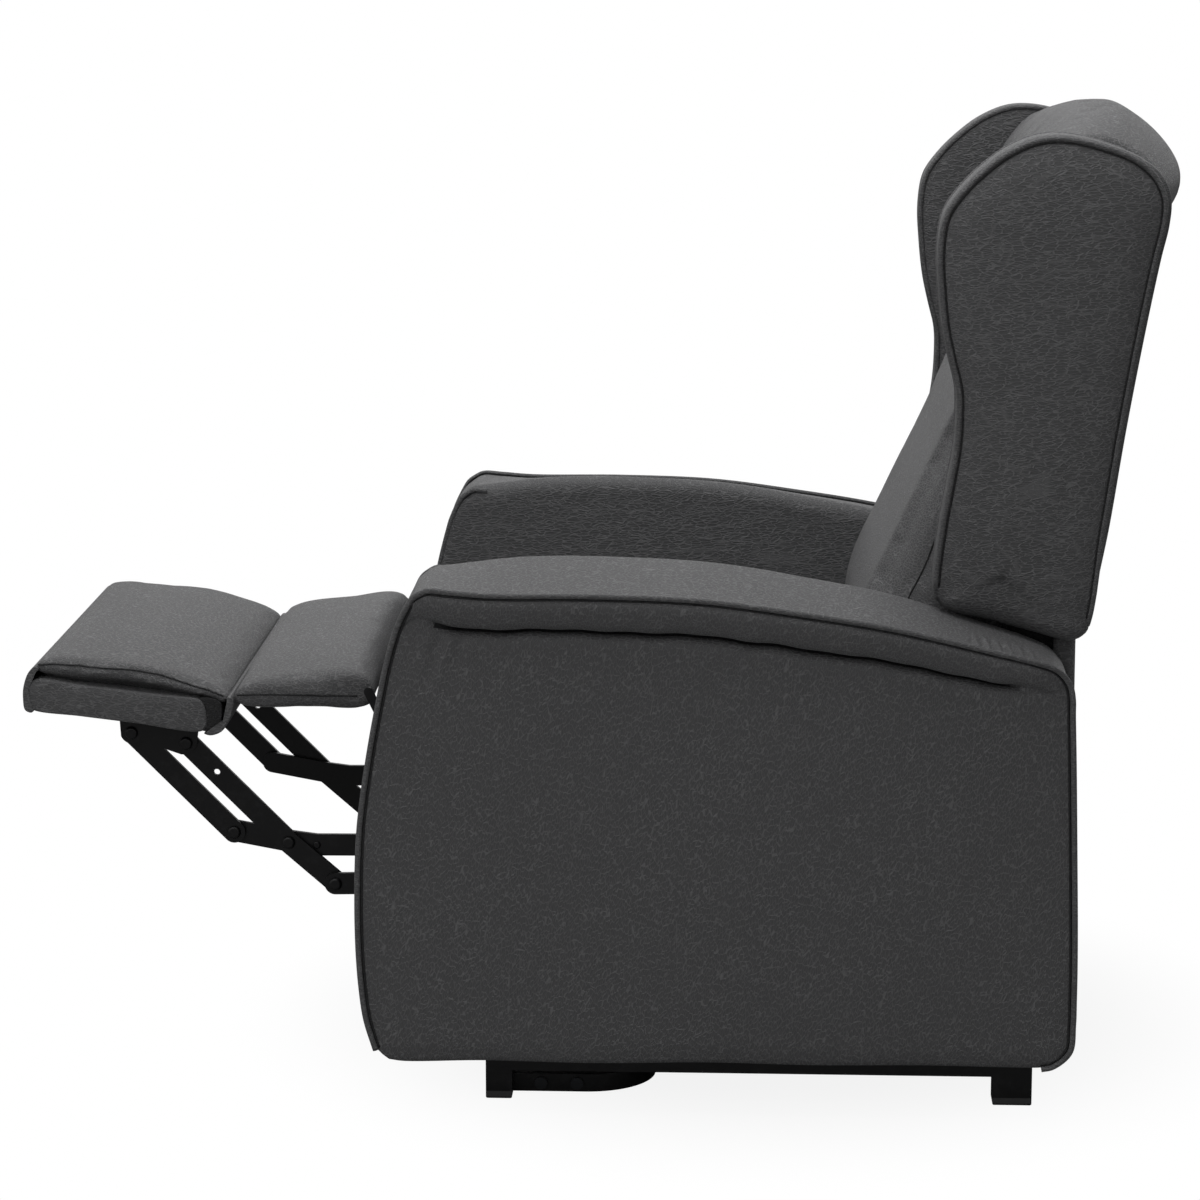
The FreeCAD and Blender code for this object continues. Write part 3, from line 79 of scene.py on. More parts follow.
def smooth(points, count, closed=False):
    """Even points on a soft line through the given ones."""
    p = np.asarray(points, float)
    n = len(p)
    if closed:
        p = np.vstack([p[-1], p, p[0], p[1]])
    else:
        p = np.vstack([2 * p[0] - p[1], p, 2 * p[-1] - p[-2]])
        n -= 1
    knots = np.concatenate([[0], np.cumsum(np.sqrt(np.linalg.norm(np.diff(p, axis=0), axis=1)) + 1e-9)])
    fine = []
    for i in range(n):
        t = np.linspace(knots[i + 1], knots[i + 2], SPAN_STEPS, endpoint=False)[:, None]
        k0, k1, k2, k3 = knots[i:i + 4]
        a1 = (k1 - t) / (k1 - k0) * p[i] + (t - k0) / (k1 - k0) * p[i + 1]
        a2 = (k2 - t) / (k2 - k1) * p[i + 1] + (t - k1) / (k2 - k1) * p[i + 2]
        a3 = (k3 - t) / (k3 - k2) * p[i + 2] + (t - k2) / (k3 - k2) * p[i + 3]
        b1 = (k2 - t) / (k2 - k0) * a1 + (t - k0) / (k2 - k0) * a2
        b2 = (k3 - t) / (k3 - k1) * a2 + (t - k1) / (k3 - k1) * a3
        fine.append((k2 - t) / (k2 - k1) * b1 + (t - k1) / (k2 - k1) * b2)
    fine = np.vstack(fine + [p[1:2] if closed else p[-2:-1]])
    along = travelled(fine)
    wanted = np.linspace(0, along[-1], count, endpoint=not closed)
    return np.column_stack([np.interp(wanted, along, fine[:, k]) for k in range(p.shape[1])])


def travelled(points):
    """How far along a line each of its points lies."""
    return np.concatenate([[0], np.cumsum(np.linalg.norm(np.diff(points, axis=0), axis=1))])


def picked(line, shares):
    """Points of a line at the given shares of its length."""
    fine = smooth(line, LINE_STEPS)
    at = np.linspace(0, 1, LINE_STEPS)
    return np.column_stack([np.interp(shares, at, fine[:, k]) for k in range(fine.shape[1])])


def ease(x, low, high):
    """0 below low, 1 above high, and a soft step between."""
    t = np.clip((np.asarray(x, float) - low) / (high - low), 0, 1)
    return t * t * (3 - 2 * t)


def within(x, start, full, fading, gone):
    """1 from full to fading, 0 before start and after gone, and soft steps between."""
    return ease(x, start, full) * (1 - ease(x, fading, gone))


def outward(loop):
    """Unit normals of a closed side outline, pointing away from it."""
    step = np.roll(loop, -1, 0) - np.roll(loop, 1, 0)
    normal = np.column_stack([step[:, 1], -step[:, 0]])
    normal /= np.linalg.norm(normal, axis=1)[:, None] + 1e-12
    area = 0.5 * np.sum(loop[:, 0] * np.roll(loop[:, 1], -1) - np.roll(loop[:, 0], -1) * loop[:, 1])
    return normal if area > 0 else -normal


def beside(line):
    """Unit normals of an open line, to its right."""
    step = np.gradient(line, axis=0)
    return np.column_stack([step[:, 1], -step[:, 0]]) / (np.linalg.norm(step, axis=1)[:, None] + 1e-9)


def softened(values, rounds):
    """Values round a closed loop, evened out with their neighbours for some rounds."""
    for _ in range(rounds):
        values = (np.roll(values, 1, 0) + values + np.roll(values, -1, 0)) / 3
    return values


def at_x(x, loop):
    """A side outline of (y, z) set at x, which is one value or one for each point."""
    return np.column_stack([x + np.zeros(len(loop)), loop])


# ---------------------------------------------------------------- meshes


def new_piece(name, points, faces, material, body, side=1, slot="leatherette"):
    """A smooth mesh piece of the chair that rides on one of its bodies, mirrored where side is -1."""
    points = np.array(points, float)
    faces = [tuple(f) for f in faces]
    if side < 0:
        points[:, 0] *= -1
        faces = [f[::-1] for f in faces]
    mesh = bpy.data.meshes.new(name)
    mesh.from_pydata([tuple(p) for p in metres(points)], [], faces)
    mesh.validate()
    mesh.polygons.foreach_set("use_smooth", [True] * len(mesh.polygons))
    mesh.update()
    piece = bpy.data.objects.new(name, mesh)
    bpy.context.scene.collection.objects.link(piece)
    mesh.materials.append(material)
    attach(piece, body)
    return piece


def ring_mesh(rings, fans=True):
    """Points and faces of a skin over loops of equal length, with a flat fan in both ends."""
    rings = [np.asarray(r, float) for r in rings]
    n = len(rings[0])
    points = np.vstack(rings + [rings[0].mean(0)[None], rings[-1].mean(0)[None]])
    faces = []
    for k in range(len(rings) - 1):
        a, b = k * n, (k + 1) * n
        for i in range(n):
            j = (i + 1) % n
            faces.append((a + i, a + j, b + j, b + i))
    if not fans:
        return points[:-2], faces
    first, last = len(points) - 2, len(points) - 1
    end = (len(rings) - 1) * n
    for i in range(n):
        j = (i + 1) % n
        faces.append((first, j, i))
        faces.append((last, end + i, end + j))
    return points, faces


def joined(points, faces):
    """The same skin with points that coincide made one, less the faces that this closes up."""
    places, index, kept = {}, [], []
    for p in points:
        key = tuple(np.round(p, 3))
        if key not in places:
            places[key] = len(kept)
            kept.append(p)
        index.append(places[key])
    whole = []
    for face in faces:
        corners = [index[i] for i in face]
        corners = [c for k, c in enumerate(corners) if c != corners[k - 1]]
        if len(set(corners)) > 2:
            whole.append(tuple(corners))
    return np.array(kept), whole


def loop_at(outline, x, inset=0.0):
    """A side outline at x, drawn in towards its middle."""
    return at_x(x, outline - outward(outline) * inset)


CAP_SHARES = (0.82, 0.6, 0.38, 0.18, 0.05)


def caps(outline, x_face, first_inset, bulge):
    """Loops that close a side face, from its edge to its middle, with a soft bulge."""
    centre = outline.mean(0)
    base = outline - outward(outline) * first_inset
    return [at_x(x_face + bulge * (1 - share ** 2), centre + (base - centre) * share) for share in CAP_SHARES]


CLOSEST = 0.05


def tube(path, radius, sides=10):
    """Points and faces of a round cord along a line, in millimetres. Points closer than CLOSEST become one."""
    path = np.asarray(path, float)
    path = path[np.concatenate([[True], np.linalg.norm(np.diff(path, axis=0), axis=1) > CLOSEST])]
    step = np.gradient(path, axis=0)
    step /= np.linalg.norm(step, axis=1)[:, None] + 1e-9
    side = np.cross(step, (0.31, 0.17, 0.94))
    for i in range(1, len(path)):
        v = side[i - 1] - step[i] * np.dot(side[i - 1], step[i])
        side[i] = v / (np.linalg.norm(v) + 1e-12)
    side[0] /= np.linalg.norm(side[0])
    up = np.cross(step, side)
    turn = np.linspace(0, 2 * math.pi, sides, endpoint=False)
    return ring_mesh([p + radius * (np.cos(turn)[:, None] * s + np.sin(turn)[:, None] * u)
                      for p, s, u in zip(path, side, up)])


# size of the even mesh that cloth works on, how long it is blown up, and what it is like
VOXEL = 5.0
CLOTH_FRAMES = 20
CLOTH_SETTINGS = {"quality": 4, "mass": 0.25, "tension_stiffness": 22, "compression_stiffness": 22,
                  "shear_stiffness": 12, "bending_stiffness": 1.2, "use_pressure": True,
                  "uniform_pressure_force": 4.0}


def positions(mesh):
    """The points of a mesh, one row each."""
    places = np.empty(len(mesh.vertices) * 3)
    mesh.vertices.foreach_get("co", places)
    return places.reshape(-1, 3)


def plump(piece, cap):
    """Inflates a cushion with cloth, holding each point within cap millimetres of where it was."""
    remesh = piece.modifiers.new("even skin", "REMESH")
    remesh.mode = "VOXEL"
    remesh.voxel_size = VOXEL / 1000
    settle(piece)
    mesh = piece.data
    rest = positions(mesh)
    inflated = piece.modifiers.new("cloth", "CLOTH")
    for key, value in CLOTH_SETTINGS.items():
        setattr(inflated.settings, key, value)
    inflated.settings.effector_weights.gravity = 0
    inflated.collision_settings.use_collision = False
    scene = bpy.context.scene
    for number in range(1, CLOTH_FRAMES + 1):
        scene.frame_set(number)
    shaped = piece.evaluated_get(bpy.context.evaluated_depsgraph_get())
    moved = positions(shaped.data) - rest
    length = np.linalg.norm(moved, axis=1)[:, None]
    moved *= np.minimum(1, cap / 1000 / (length + 1e-9))
    piece.modifiers.remove(inflated)
    scene.frame_set(1)
    mesh.vertices.foreach_set("co", (rest + moved).ravel())
    mesh.update()
    finer = piece.modifiers.new("finer skin", "SUBSURF")
    finer.levels = finer.render_levels = 1


def settle(piece):
    """Applies a piece's modifiers to its mesh."""
    shaped = piece.evaluated_get(bpy.context.evaluated_depsgraph_get())
    mesh = bpy.data.meshes.new_from_object(shaped)
    mesh.name = piece.name
    materials = list(piece.data.materials)
    piece.modifiers.clear()
    piece.data = mesh
    mesh.materials.clear()
    for material in materials:
        mesh.materials.append(material)
    mesh.polygons.foreach_set("use_smooth", [True] * len(mesh.polygons))
    mesh.update()


SEAM_LIFT = 0.1


def pressed_on(piece, path):
    """A line moved onto a piece's skin, SEAM_LIFT millimetres proud of it."""
    bpy.context.view_layer.update()
    shaped = piece.evaluated_get(bpy.context.evaluated_depsgraph_get())
    skin = shaped.to_mesh()
    tree = BVHTree.FromPolygons([v.co for v in skin.vertices], [p.vertices for p in skin.polygons])
    shaped.to_mesh_clear()
    result = []
    for point in metres(path):
        hit, normal, index, distance = tree.find_nearest(Vector(point))
        result.append(np.array(hit + normal * (SEAM_LIFT / 1000)) * 1000 - (0, SHIFT_Y, 0))
    return np.array(result)


# ---------------------------------------------------------------- finishes


def linear(hex_colour):
    """sRGB hex as the linear colour a shader wants."""
    values = [int(hex_colour[i:i + 2], 16) / 255 for i in (1, 3, 5)]
    return (*[v / 12.92 if v <= 0.04045 else ((v + 0.055) / 1.055) ** 2.4 for v in values], 1.0)


def add(material, kind, inputs=None, **settings):
    """Adds a node with its settings and input values or links, and returns it."""
    node = material.node_tree.nodes.new("ShaderNode" + kind)
    for key, value in settings.items():
        setattr(node, key, value)
    for key, value in (inputs or {}).items():
        socket = node.inputs[key]
        if isinstance(value, bpy.types.NodeSocket):
            material.node_tree.links.new(value, socket)
        else:
            socket.default_value = value
    return node


def finish_named(name):
    """A new material with no nodes but the one of its place on the piece, and that node's output."""
    material = bpy.data.materials.new(name)
    material.use_nodes = True
    material.node_tree.nodes.clear()
    return material, add(material, "TexCoord").outputs["Object"]


def show(material, shader):
    """Makes a shader the material's surface."""
    add(material, "OutputMaterial", {"Surface": shader.outputs[0]})
    return material


def noise(material, place, scale, detail, roughness=0.5, distortion=0.0):
    """A node of cloudy noise, about 1 / scale metres from cloud to cloud."""
    return add(material, "TexNoise", {"Vector": place, "Scale": scale, "Detail": detail, "Roughness": roughness,
                                      "Distortion": distortion})


def levels(material, value, given, wanted=(0.0, 1.0), **settings):
    """A value that goes through the wanted range while the one it comes from goes through the given range."""
    return add(material, "MapRange", {"Value": value, "From Min": given[0], "From Max": given[1],
                                      "To Min": wanted[0], "To Max": wanted[1]}, **settings).outputs[0]


def creases(material, place, scale, width, pale, **settings):
    """Lines round cells of about 1 / scale metres: pale on a line, and nothing a width away from it."""
    net = add(material, "TexVoronoi", {"Vector": place, "Scale": scale}, feature="DISTANCE_TO_EDGE")
    return levels(material, net.outputs["Distance"], (0.0, width), (pale, 0.0), **settings)


def stretched(material, place, turn, along):
    """A place turned, and drawn out along its axes."""
    return add(material, "Mapping", {"Vector": place, "Rotation": turn, "Scale": along},
               vector_type="TEXTURE").outputs["Vector"]


def maths(material, operation, *values):
    """The result of a sum on values."""
    return add(material, "Math", dict(enumerate(values)), operation=operation).outputs[0]


def blend(material, share, first, second):
    """Two hex colours mixed by a share."""
    return add(material, "Mix", {"Factor": share, "A": linear(first), "B": linear(second)},
               data_type="RGBA").outputs["Result"]


def surfaced(material, colour, roughness, height, strength, distance, **more):
    """Ends a material in one surface, whose bumps follow a height and are at most distance metres deep."""
    bump = add(material, "Bump", {"Height": height, "Strength": strength, "Distance": distance}).outputs["Normal"]
    inputs = {"Base Color": colour, "Roughness": roughness, "Normal": bump}
    inputs.update((key.replace("_", " "), value) for key, value in more.items())
    return show(material, add(material, "BsdfPrincipled", inputs))


def leatherette(name, face, ridge, along, turn, long_creases=0.0):
    """Pressed leatherette: a matt coated cloth, with fine creases that run one way and whose ridges
    are coloured paler than the cloth between them."""
    m, place = finish_named(name)
    # slow bends of about 3 cm, so that the creases wander
    wander = (0.004, 0.004, 0.004)
    bends = noise(m, place, 30.0, 2.0).outputs["Color"]
    bent = add(m, "VectorMath", {0: bends, 1: wander, 2: place}, operation="MULTIPLY_ADD").outputs[0]
    lie = stretched(m, bent, turn, along)
    # creases 2.5 mm apart and up to several times as long, which fade in patches of a centimetre or two
    ridges = creases(m, lie, 400.0, 0.14, 1.0, interpolation_type="SMOOTHSTEP")
    fade = levels(m, noise(m, lie, 60.0, 2.0).outputs["Fac"], (0.3, 0.6), (0.75, 1.0))
    ridges = maths(m, "MULTIPLY", ridges, fade)
    if long_creases:
        # a few creases of 30 to 60 mm that run aslant
        aslant = stretched(m, bent, (turn[0] + 0.22, 0, 0), (1.0, 4.5, 1.0))
        ridges = maths(m, "MAXIMUM", ridges, creases(m, aslant, 62.0, 0.045, long_creases))
    # pebbles of 2 mm between the creases
    fine = noise(m, lie, 520.0, 3.0, 0.65).outputs["Fac"]
    # broad patches of a hand's width where the cloth is a little paler
    patch = noise(m, place, 8.0, 3.0).outputs["Fac"]
    tone = maths(m, "MULTIPLY_ADD", fine, 0.34, ridges)
    tone = maths(m, "MULTIPLY_ADD", patch, 0.12, tone)
    tone = levels(m, tone, (0.12, 1.25))
    height = maths(m, "MULTIPLY_ADD", fine, 0.6, ridges)
    return surfaced(m, blend(m, tone, face, ridge), levels(m, tone, (0.0, 1.0), (0.60, 0.46)), height, 0.7, 0.0009,
                    IOR=1.5, Specular_IOR_Level=0.24, Sheen_Weight=0.04, Sheen_Roughness=0.5,
                    Sheen_Tint=linear("#c8c8c8"))


def coated_steel(name, colour, worn):
    """Powder-coated steel: black with a fine orange-peel skin, a little paler where it is rubbed."""
    m, place = finish_named(name)
    # orange peel of about 1.5 mm
    peel = noise(m, place, 700.0, 2.0).outputs["Fac"]
    rub = levels(m, noise(m, place, 60.0, 6.0, 0.7).outputs["Fac"], (0.52, 0.75))
    rough = levels(m, rub, (0.0, 1.0), (0.34, 0.52))
    return surfaced(m, blend(m, rub, colour, worn), rough, peel, 0.18, 0.0003, IOR=1.5, Specular_IOR_Level=0.2)


def zinc_steel(name, colour):
    """Zinc-plated steel, blackened: a dark, half-bright metal with fine drawn lines along the chair."""
    m, place = finish_named(name)
    drawn = add(m, "Mapping", {"Vector": place, "Scale": (900, 30, 900)}).outputs["Vector"]
    lines = noise(m, drawn, 1.0, 3.0).outputs["Fac"]
    return surfaced(m, linear(colour), levels(m, lines, (0.0, 1.0), (0.22, 0.4)), lines, 0.1, 0.0002, Metallic=1.0)


def moulded_plastic(name, colour, pale):
    """ABS, moulded with a spark-eroded grain of under a millimetre, so it is matt with faint sparkle."""
    m, place = finish_named(name)
    grit = add(m, "TexVoronoi", {"Vector": place, "Scale": 1400.0}).outputs["Distance"]
    cloud = noise(m, place, 35.0, 3.0).outputs["Fac"]
    return surfaced(m, blend(m, cloud, colour, pale), 0.5, grit, 0.25, 0.0002, IOR=1.54)


def plywood(name, light, dark):
    """Raw birch plywood: pale, with long grain streaks a few millimetres wide."""
    m, place = finish_named(name)
    long_way = add(m, "Mapping", {"Vector": place, "Scale": (260, 14, 260)}).outputs["Vector"]
    grain = noise(m, long_way, 1.0, 6.0, distortion=0.4).outputs["Fac"]
    return surfaced(m, blend(m, grain, dark, light), 0.7, grain, 0.2, 0.0003)


def elastic_webbing(name, colour, stripe):
    """Woven elastic webbing: fine ribs across the strap, every one with a paler crest."""
    m, place = finish_named(name)
    ribs = add(m, "TexWave", {"Vector": place, "Scale": 170.0, "Distortion": 0.3, "Detail": 1.0},
               bands_direction="X").outputs["Fac"]
    return surfaced(m, blend(m, ribs, colour, stripe), 0.85, ribs, 0.5, 0.0006)


# ---------------------------------------------------------------- settings


class ReclinerColours(bpy.types.PropertyGroup):
    """Colours of the recliner's finishes."""
    leather: bpy.props.StringProperty(name="Leatherette", description="sRGB hex of the cloth", default="#4a4a4b")
    ridge: bpy.props.StringProperty(name="Ridges", description="sRGB hex on the cloth's paler ridges", default="#6a6a6b")
    steel: bpy.props.StringProperty(name="Steel", description="sRGB hex of the powder coat", default="#101011")
    steel_worn: bpy.props.StringProperty(name="Rubbed steel", description="sRGB hex where the coat is rubbed",
                                         default="#1d1d1e")
    plastic: bpy.props.StringProperty(name="Plastic", description="sRGB hex of the moulded parts", default="#1a1a1b")
    floor: bpy.props.StringProperty(name="Floor", description="sRGB hex of the studio floor", default="#c4c4c4")


class ReclinerSizes(bpy.types.PropertyGroup):
    """Sizes of the upholstery that a user may change."""
    piping: bpy.props.FloatProperty(name="Piping", description="Radius of the piping cord", default=0.0032,
                                    unit="LENGTH", subtype="DISTANCE")
    roll: bpy.props.FloatProperty(name="Arm roll", description="How far the roll under the arm piping stands out",
                                  default=0.014, unit="LENGTH", subtype="DISTANCE")
    pleats: bpy.props.FloatProperty(name="Pleats", description="Height of the pleats at the rear of the arms",
                                    default=0.0030, unit="LENGTH", subtype="DISTANCE")


def sizes():
    """The sizes that the scene's settings give."""
    return bpy.context.scene.recliner_sizes


def colours():
    """The colours that the scene's settings give."""
    return bpy.context.scene.recliner_colours


def cloth(name, along, turn, long_creases=0.0):
    """Leatherette of the settings' colours, made once under each name."""
    return bpy.data.materials.get(name) or leatherette(name, colours().leather, colours().ridge, along, turn,
                                                       long_creases)


def side_cloth():
    """For the outer sides of the arms."""
    return cloth("leatherette, upright creases", (1.0, 1.1, 2.9), (-0.28, 0, 0))


def wing_cloth():
    """For the wings, the arms' inner faces and the rear."""
    return cloth("leatherette, level creases", (1.0, 4.6, 1.2), (0.02, 0, 0), 0.5)


def top_cloth():
    """For the cushions and the tops of the arms."""
    return cloth("leatherette, crosswise creases", (1.5, 2.6, 1.3), (-0.1, 0, 0.25))


def band_cloth():
    """For piping and narrow bands."""
    return cloth("leatherette, lengthwise creases", (1.3, 3.6, 1.0), (-0.1, 0, 0), 0.3)


def shade_and_dark_cloth():
    """Painted shade: the same cloth darkened, for the sunk lines beside the piping and along the seams and for the
    bottom of the fold under the arm roll, where shade falls; also the dark cloth over parts of the frame.
    """
    return bpy.data.materials.get("leatherette, painted shade and dark cloth") or leatherette(
        "leatherette, painted shade and dark cloth", "#141415", "#1e1e1f", (1.0, 2.0, 1.0), (0, 0, 0))


# ---------------------------------------------------------------- arms

ARM_INNER, ARM_OUTER = 262.0, 390.0
ARM_FRONT_EDGE = [(-404, 60), (-416, 71), (-424, 95), (-430, 131), (-434, 187), (-434, 265), (-431, 321),
                  (-422, 387), (-410, 453), (-397, 513), (-384, 551), (-372, 572)]
ARM_TOP_EDGE = [(-372, 572), (-357, 581), (-335, 580), (-293, 577), (-179, 577), (-66, 573), (39, 560), (140, 544),
                (241, 521), (290, 509), (310, 501), (323, 488)]
ARM_REAR_EDGE = [(320, 64), (331, 73), (335.5, 98), (336.5, 145), (336, 200), (333, 307), (330, 400), (328, 450),
                 (327, 475), (323, 488)]
ARM_BOTTOM_EDGE = [(-404, 60), (-388, 58), (-300, 60), (-180, 58.5), (-60, 61), (60, 59.5), (180, 61), (280, 60),
                   (306, 60.5), (320, 64)]
# how much higher the inner edge stands than the piping, along the arm
ARM_RISE = [(-437, 0), (-412, 0.5), (-392, 2), (-372, 4), (-356, 5.5), (-342, 8), (-322, 12.5), (-292, 18.5),
            (-262, 21.5), (-220, 22.5), (-120, 21.5), (-60, 21), (0, 20), (50, 18), (110, 16.5), (150, 14.5),
            (180, 12), (220, 9), (262, 6), (308, 2), (330, 0), (340, 0)]
ARM_INNER_ROUND = 16.0
# section of the roll below the piping: how far it stands out, how far down it is, and how far down without it.
# It is fullest under the piping, turns in as it goes down, and hangs over a deep fold
ROLL_SECTION = [(0.78, 0, 0), (0.78, 2.6, 2.6), (0.9, 4.6, 5), (1.0, 7.6, 8.5), (1.02, 11.5, 12.5), (0.98, 16, 17),
                (0.9, 21, 21.5), (0.79, 26, 25.5), (0.64, 30.5, 28.8), (0.46, 34.2, 31.6), (0.24, 36.9, 33.8),
                (0, 38.2, 35.4), (-0.3, 38.4, 36.8), (-0.6, 37.6, 38), (-0.85, 36.6, 39.2), (-1.02, 36.6, 40.4),
                (-1.08, 38.8, 41.6), (-1.0, 41.2, 43), (-0.75, 43.0, 44.8), (-0.45, 44.6, 47), (-0.2, 46.8, 50.2),
                (-0.05, 50.6, 55), (0, 58, 62), (0, 68, 70), (0, 80, 80)]


def coons(bottom, top, left, right):
    """A grid between four side lines: left and right run upward, bottom and top run from left to right."""
    u = travelled(top)
    u = (u / u[-1])[None, :, None]
    v = travelled(left)
    v = (v / v[-1])[:, None, None]
    ruled_v = (1 - v) * bottom[None] + v * top[None]
    ruled_u = (1 - u) * left[:, None] + u * right[:, None]
    corners = ((1 - u) * (1 - v) * bottom[0] + u * (1 - v) * bottom[-1] + (1 - u) * v * top[0] + u * v * top[-1])
    return ruled_v + ruled_u - corners


ARM_COLUMNS = 230
ARM_PLAIN_ROWS = 50
ARM_HEIGHT = 505.0


def arm_grid():
    """Flat grid of an arm's outer panel, with close rows under the piping and close columns at its two ends."""
    where = np.linspace(0, 1, 600)
    close = 1 + 1.6 * np.exp(-((where - 0.06) / 0.07) ** 2) + 2.4 * np.exp(-((where - 0.9) / 0.07) ** 2)
    close = np.cumsum(close)
    columns = np.interp(np.linspace(close[0], close[-1], ARM_COLUMNS), close, where)
    shares = [1 - flat / ARM_HEIGHT for out, down, flat in ROLL_SECTION]
    rows = np.array(list(np.linspace(0, shares[-1], ARM_PLAIN_ROWS, endpoint=False)) + shares[::-1])
    return coons(picked(ARM_BOTTOM_EDGE, columns), picked(ARM_TOP_EDGE, columns), picked(ARM_FRONT_EDGE, rows),
                 picked(ARM_REAR_EDGE, rows))


# where along the chair the roll stands out and where the fold under it is open: start, full, fading, gone
ROLL_SPAN = (-402, -338, 282, 330)
FOLD_SPAN = (-366, -318, 246, 292)
# the seam that the fold runs out into at the rear, as y and z
FOLD_SEAM = ((262, 276, 292, 306, 318, 327), (480.5, 477, 475.5, 476, 479.5, 484))
PANEL_PUFF = 3.0


def roll_panel(grid):
    """The outer panel in space: softly padded, with the roll under its top edge and a deep fold under the roll."""
    rows, columns = grid.shape[:2]
    y, z = grid[..., 0].copy(), grid[..., 1].copy()
    across = np.linspace(0, 1, columns)[None, :]
    up = np.linspace(0, 1, rows)[:, None]
    x = ARM_OUTER + PANEL_PUFF * np.sin(math.pi * across) ** 0.5 * np.sin(math.pi * np.clip(up * 0.97, 0, 1)) ** 0.5
    x = x - PANEL_PUFF * (1 - ease(up, 0, 0.04))
    x = x + 0.9 * np.sin(y / 97.0 + 1.2 * np.sin(z / 140.0)) * within(up, 0.02, 0.2, 0.6, 0.85)
    roll = sizes().roll * 1000
    for k, (out, down, flat) in enumerate(ROLL_SECTION):
        row = rows - 1 - k
        stands = within(y[row], *ROLL_SPAN)
        fold = within(y[row], *FOLD_SPAN)
        depth = 0.80 + 0.20 * ease(y[row], -372, -330) - 0.10 * ease(y[row], 170, 300)
        scallop = 0.7 * np.sin(y[row] / 19.0 + 1.5 * np.sin(y[row] / 53.0)) + 0.5 * np.sin(y[row] / 8.3)
        x[row] += roll * out * (stands if out > 0 else fold)
        lower = 1.0 if out < 0.95 and k > 6 else 0.0
        z[row] += stands * ((flat - down) * (0.35 + 0.65 * fold) + (1 - depth) * down * 0.9 + lower * fold * scallop)
    seam_z = np.interp(y, *FOLD_SEAM)
    x -= 1.6 * np.exp(-((z - seam_z) / 1.7) ** 2) * within(y, 258, 284, 324, 331)
    # soft creases that fan down from the front end of the roll
    below = within(z, 455, 528, 530, 541)
    fan = y + 348 - 0.34 * (z - 540)
    x -= 1.5 * below * np.exp(-((fan - 14) / 24) ** 2) * np.sin(fan / 4.4)
    return np.dstack([x, y, z])


def rim(grid):
    """The grid's border, once round: along the bottom, up the right side, back along the top and down the left."""
    return np.concatenate([grid[0, :-1], grid[:-1, -1], grid[-1, :0:-1], grid[:0:-1, 0]])


# shares of the arm's width from its outer panel to its inner edge, where the skin has a loop
ARM_LOOPS = (0.006, 0.02, 0.04, 0.065, 0.095, 0.13, 0.17, 0.21, 0.26, 0.32, 0.39, 0.47, 0.55, 0.63, 0.70, 0.76, 0.81,
             0.85, 0.885, 0.915, 0.94, 0.96, 0.977, 0.99, 1.0)
# and shares of the inner face's size, from its lip to its middle
INNER_LOOPS = (0.985, 0.95, 0.88, 0.75, 0.55, 0.35, 0.15, 0.04)
INNER_MIDDLE = np.array([-50.0, 290.0])
INNER_HOLLOW = 0.8
EDGE_ROUND = 8.0


def arm_mesh():
    """Points and faces of one arm, its border seen from the side, and the border's soft normals and rise."""
    flat = arm_grid()
    outer = roll_panel(flat)
    rows, columns = flat.shape[:2]
    edge = rim(flat)
    soft = softened(outward(edge), 12)
    soft /= np.linalg.norm(soft, axis=1)[:, None]
    high = ease(edge[:, 1], 440, 500)
    top = ease(soft[:, 1], 0.2, 0.9)
    rise = softened(np.interp(edge[:, 0], *np.array(ARM_RISE, float).T) * high * ease(soft[:, 1], 0.0, 0.5), 10)
    puff = (2.0 - 0.8 * top) * (1 - ease(-soft[:, 1], 0.4, 0.9))
    inner_round = EDGE_ROUND + (ARM_INNER_ROUND - EDGE_ROUND) * top
    pleat = sizes().pleats * 1000 * within(edge[:, 0], 214, 238, 292, 310) * high
    outer_x = rim(outer)[:, 0]
    width = outer_x - ARM_INNER
    rings = []
    for t in ARM_LOOPS:
        climb = min(1.0, t / 0.89) ** 1.02
        swell = rise * climb + puff * (4 * t * (1 - t)) ** 0.9
        swell = swell + pleat * within(t, 0.0, 0.05, 0.22, 0.42) * (np.sin(edge[:, 0] * 0.53 + 9.0 * t ** 1.5) - 0.3)
        near = np.clip(1 - (1 - t) * width / inner_round, 0, 1)
        swell = swell - inner_round * (1 - np.sqrt(1 - near ** 2))
        rings.append(at_x(outer_x - t * width, edge + soft * swell[:, None]))
    lip = rings[-1][:, 1:]
    for share in INNER_LOOPS:
        rings.append(at_x(ARM_INNER + INNER_HOLLOW * (share - 1), INNER_MIDDLE + (lip - INNER_MIDDLE) * share))
    faces = []
    for r in range(rows - 1):
        for c in range(columns - 1):
            a = r * columns + c
            faces.append((a, a + 1, a + columns + 1, a + columns))
    last = rim(np.arange(rows * columns).reshape(rows, columns)).tolist()
    start = rows * columns
    n = len(last)
    for _ in rings:
        here = list(range(start, start + n))
        for i in range(n):
            j = (i + 1) % n
            faces.append((last[i], here[i], here[j], last[j]))
        last = here
        start += n
    for i in range(n):
        faces.append((last[i], start, last[(i + 1) % n]))
    points = np.vstack([outer.reshape(-1, 3), *rings, [[ARM_INNER - INNER_HOLLOW, *INNER_MIDDLE]]])
    return points, faces, outer_x, edge, soft, rise


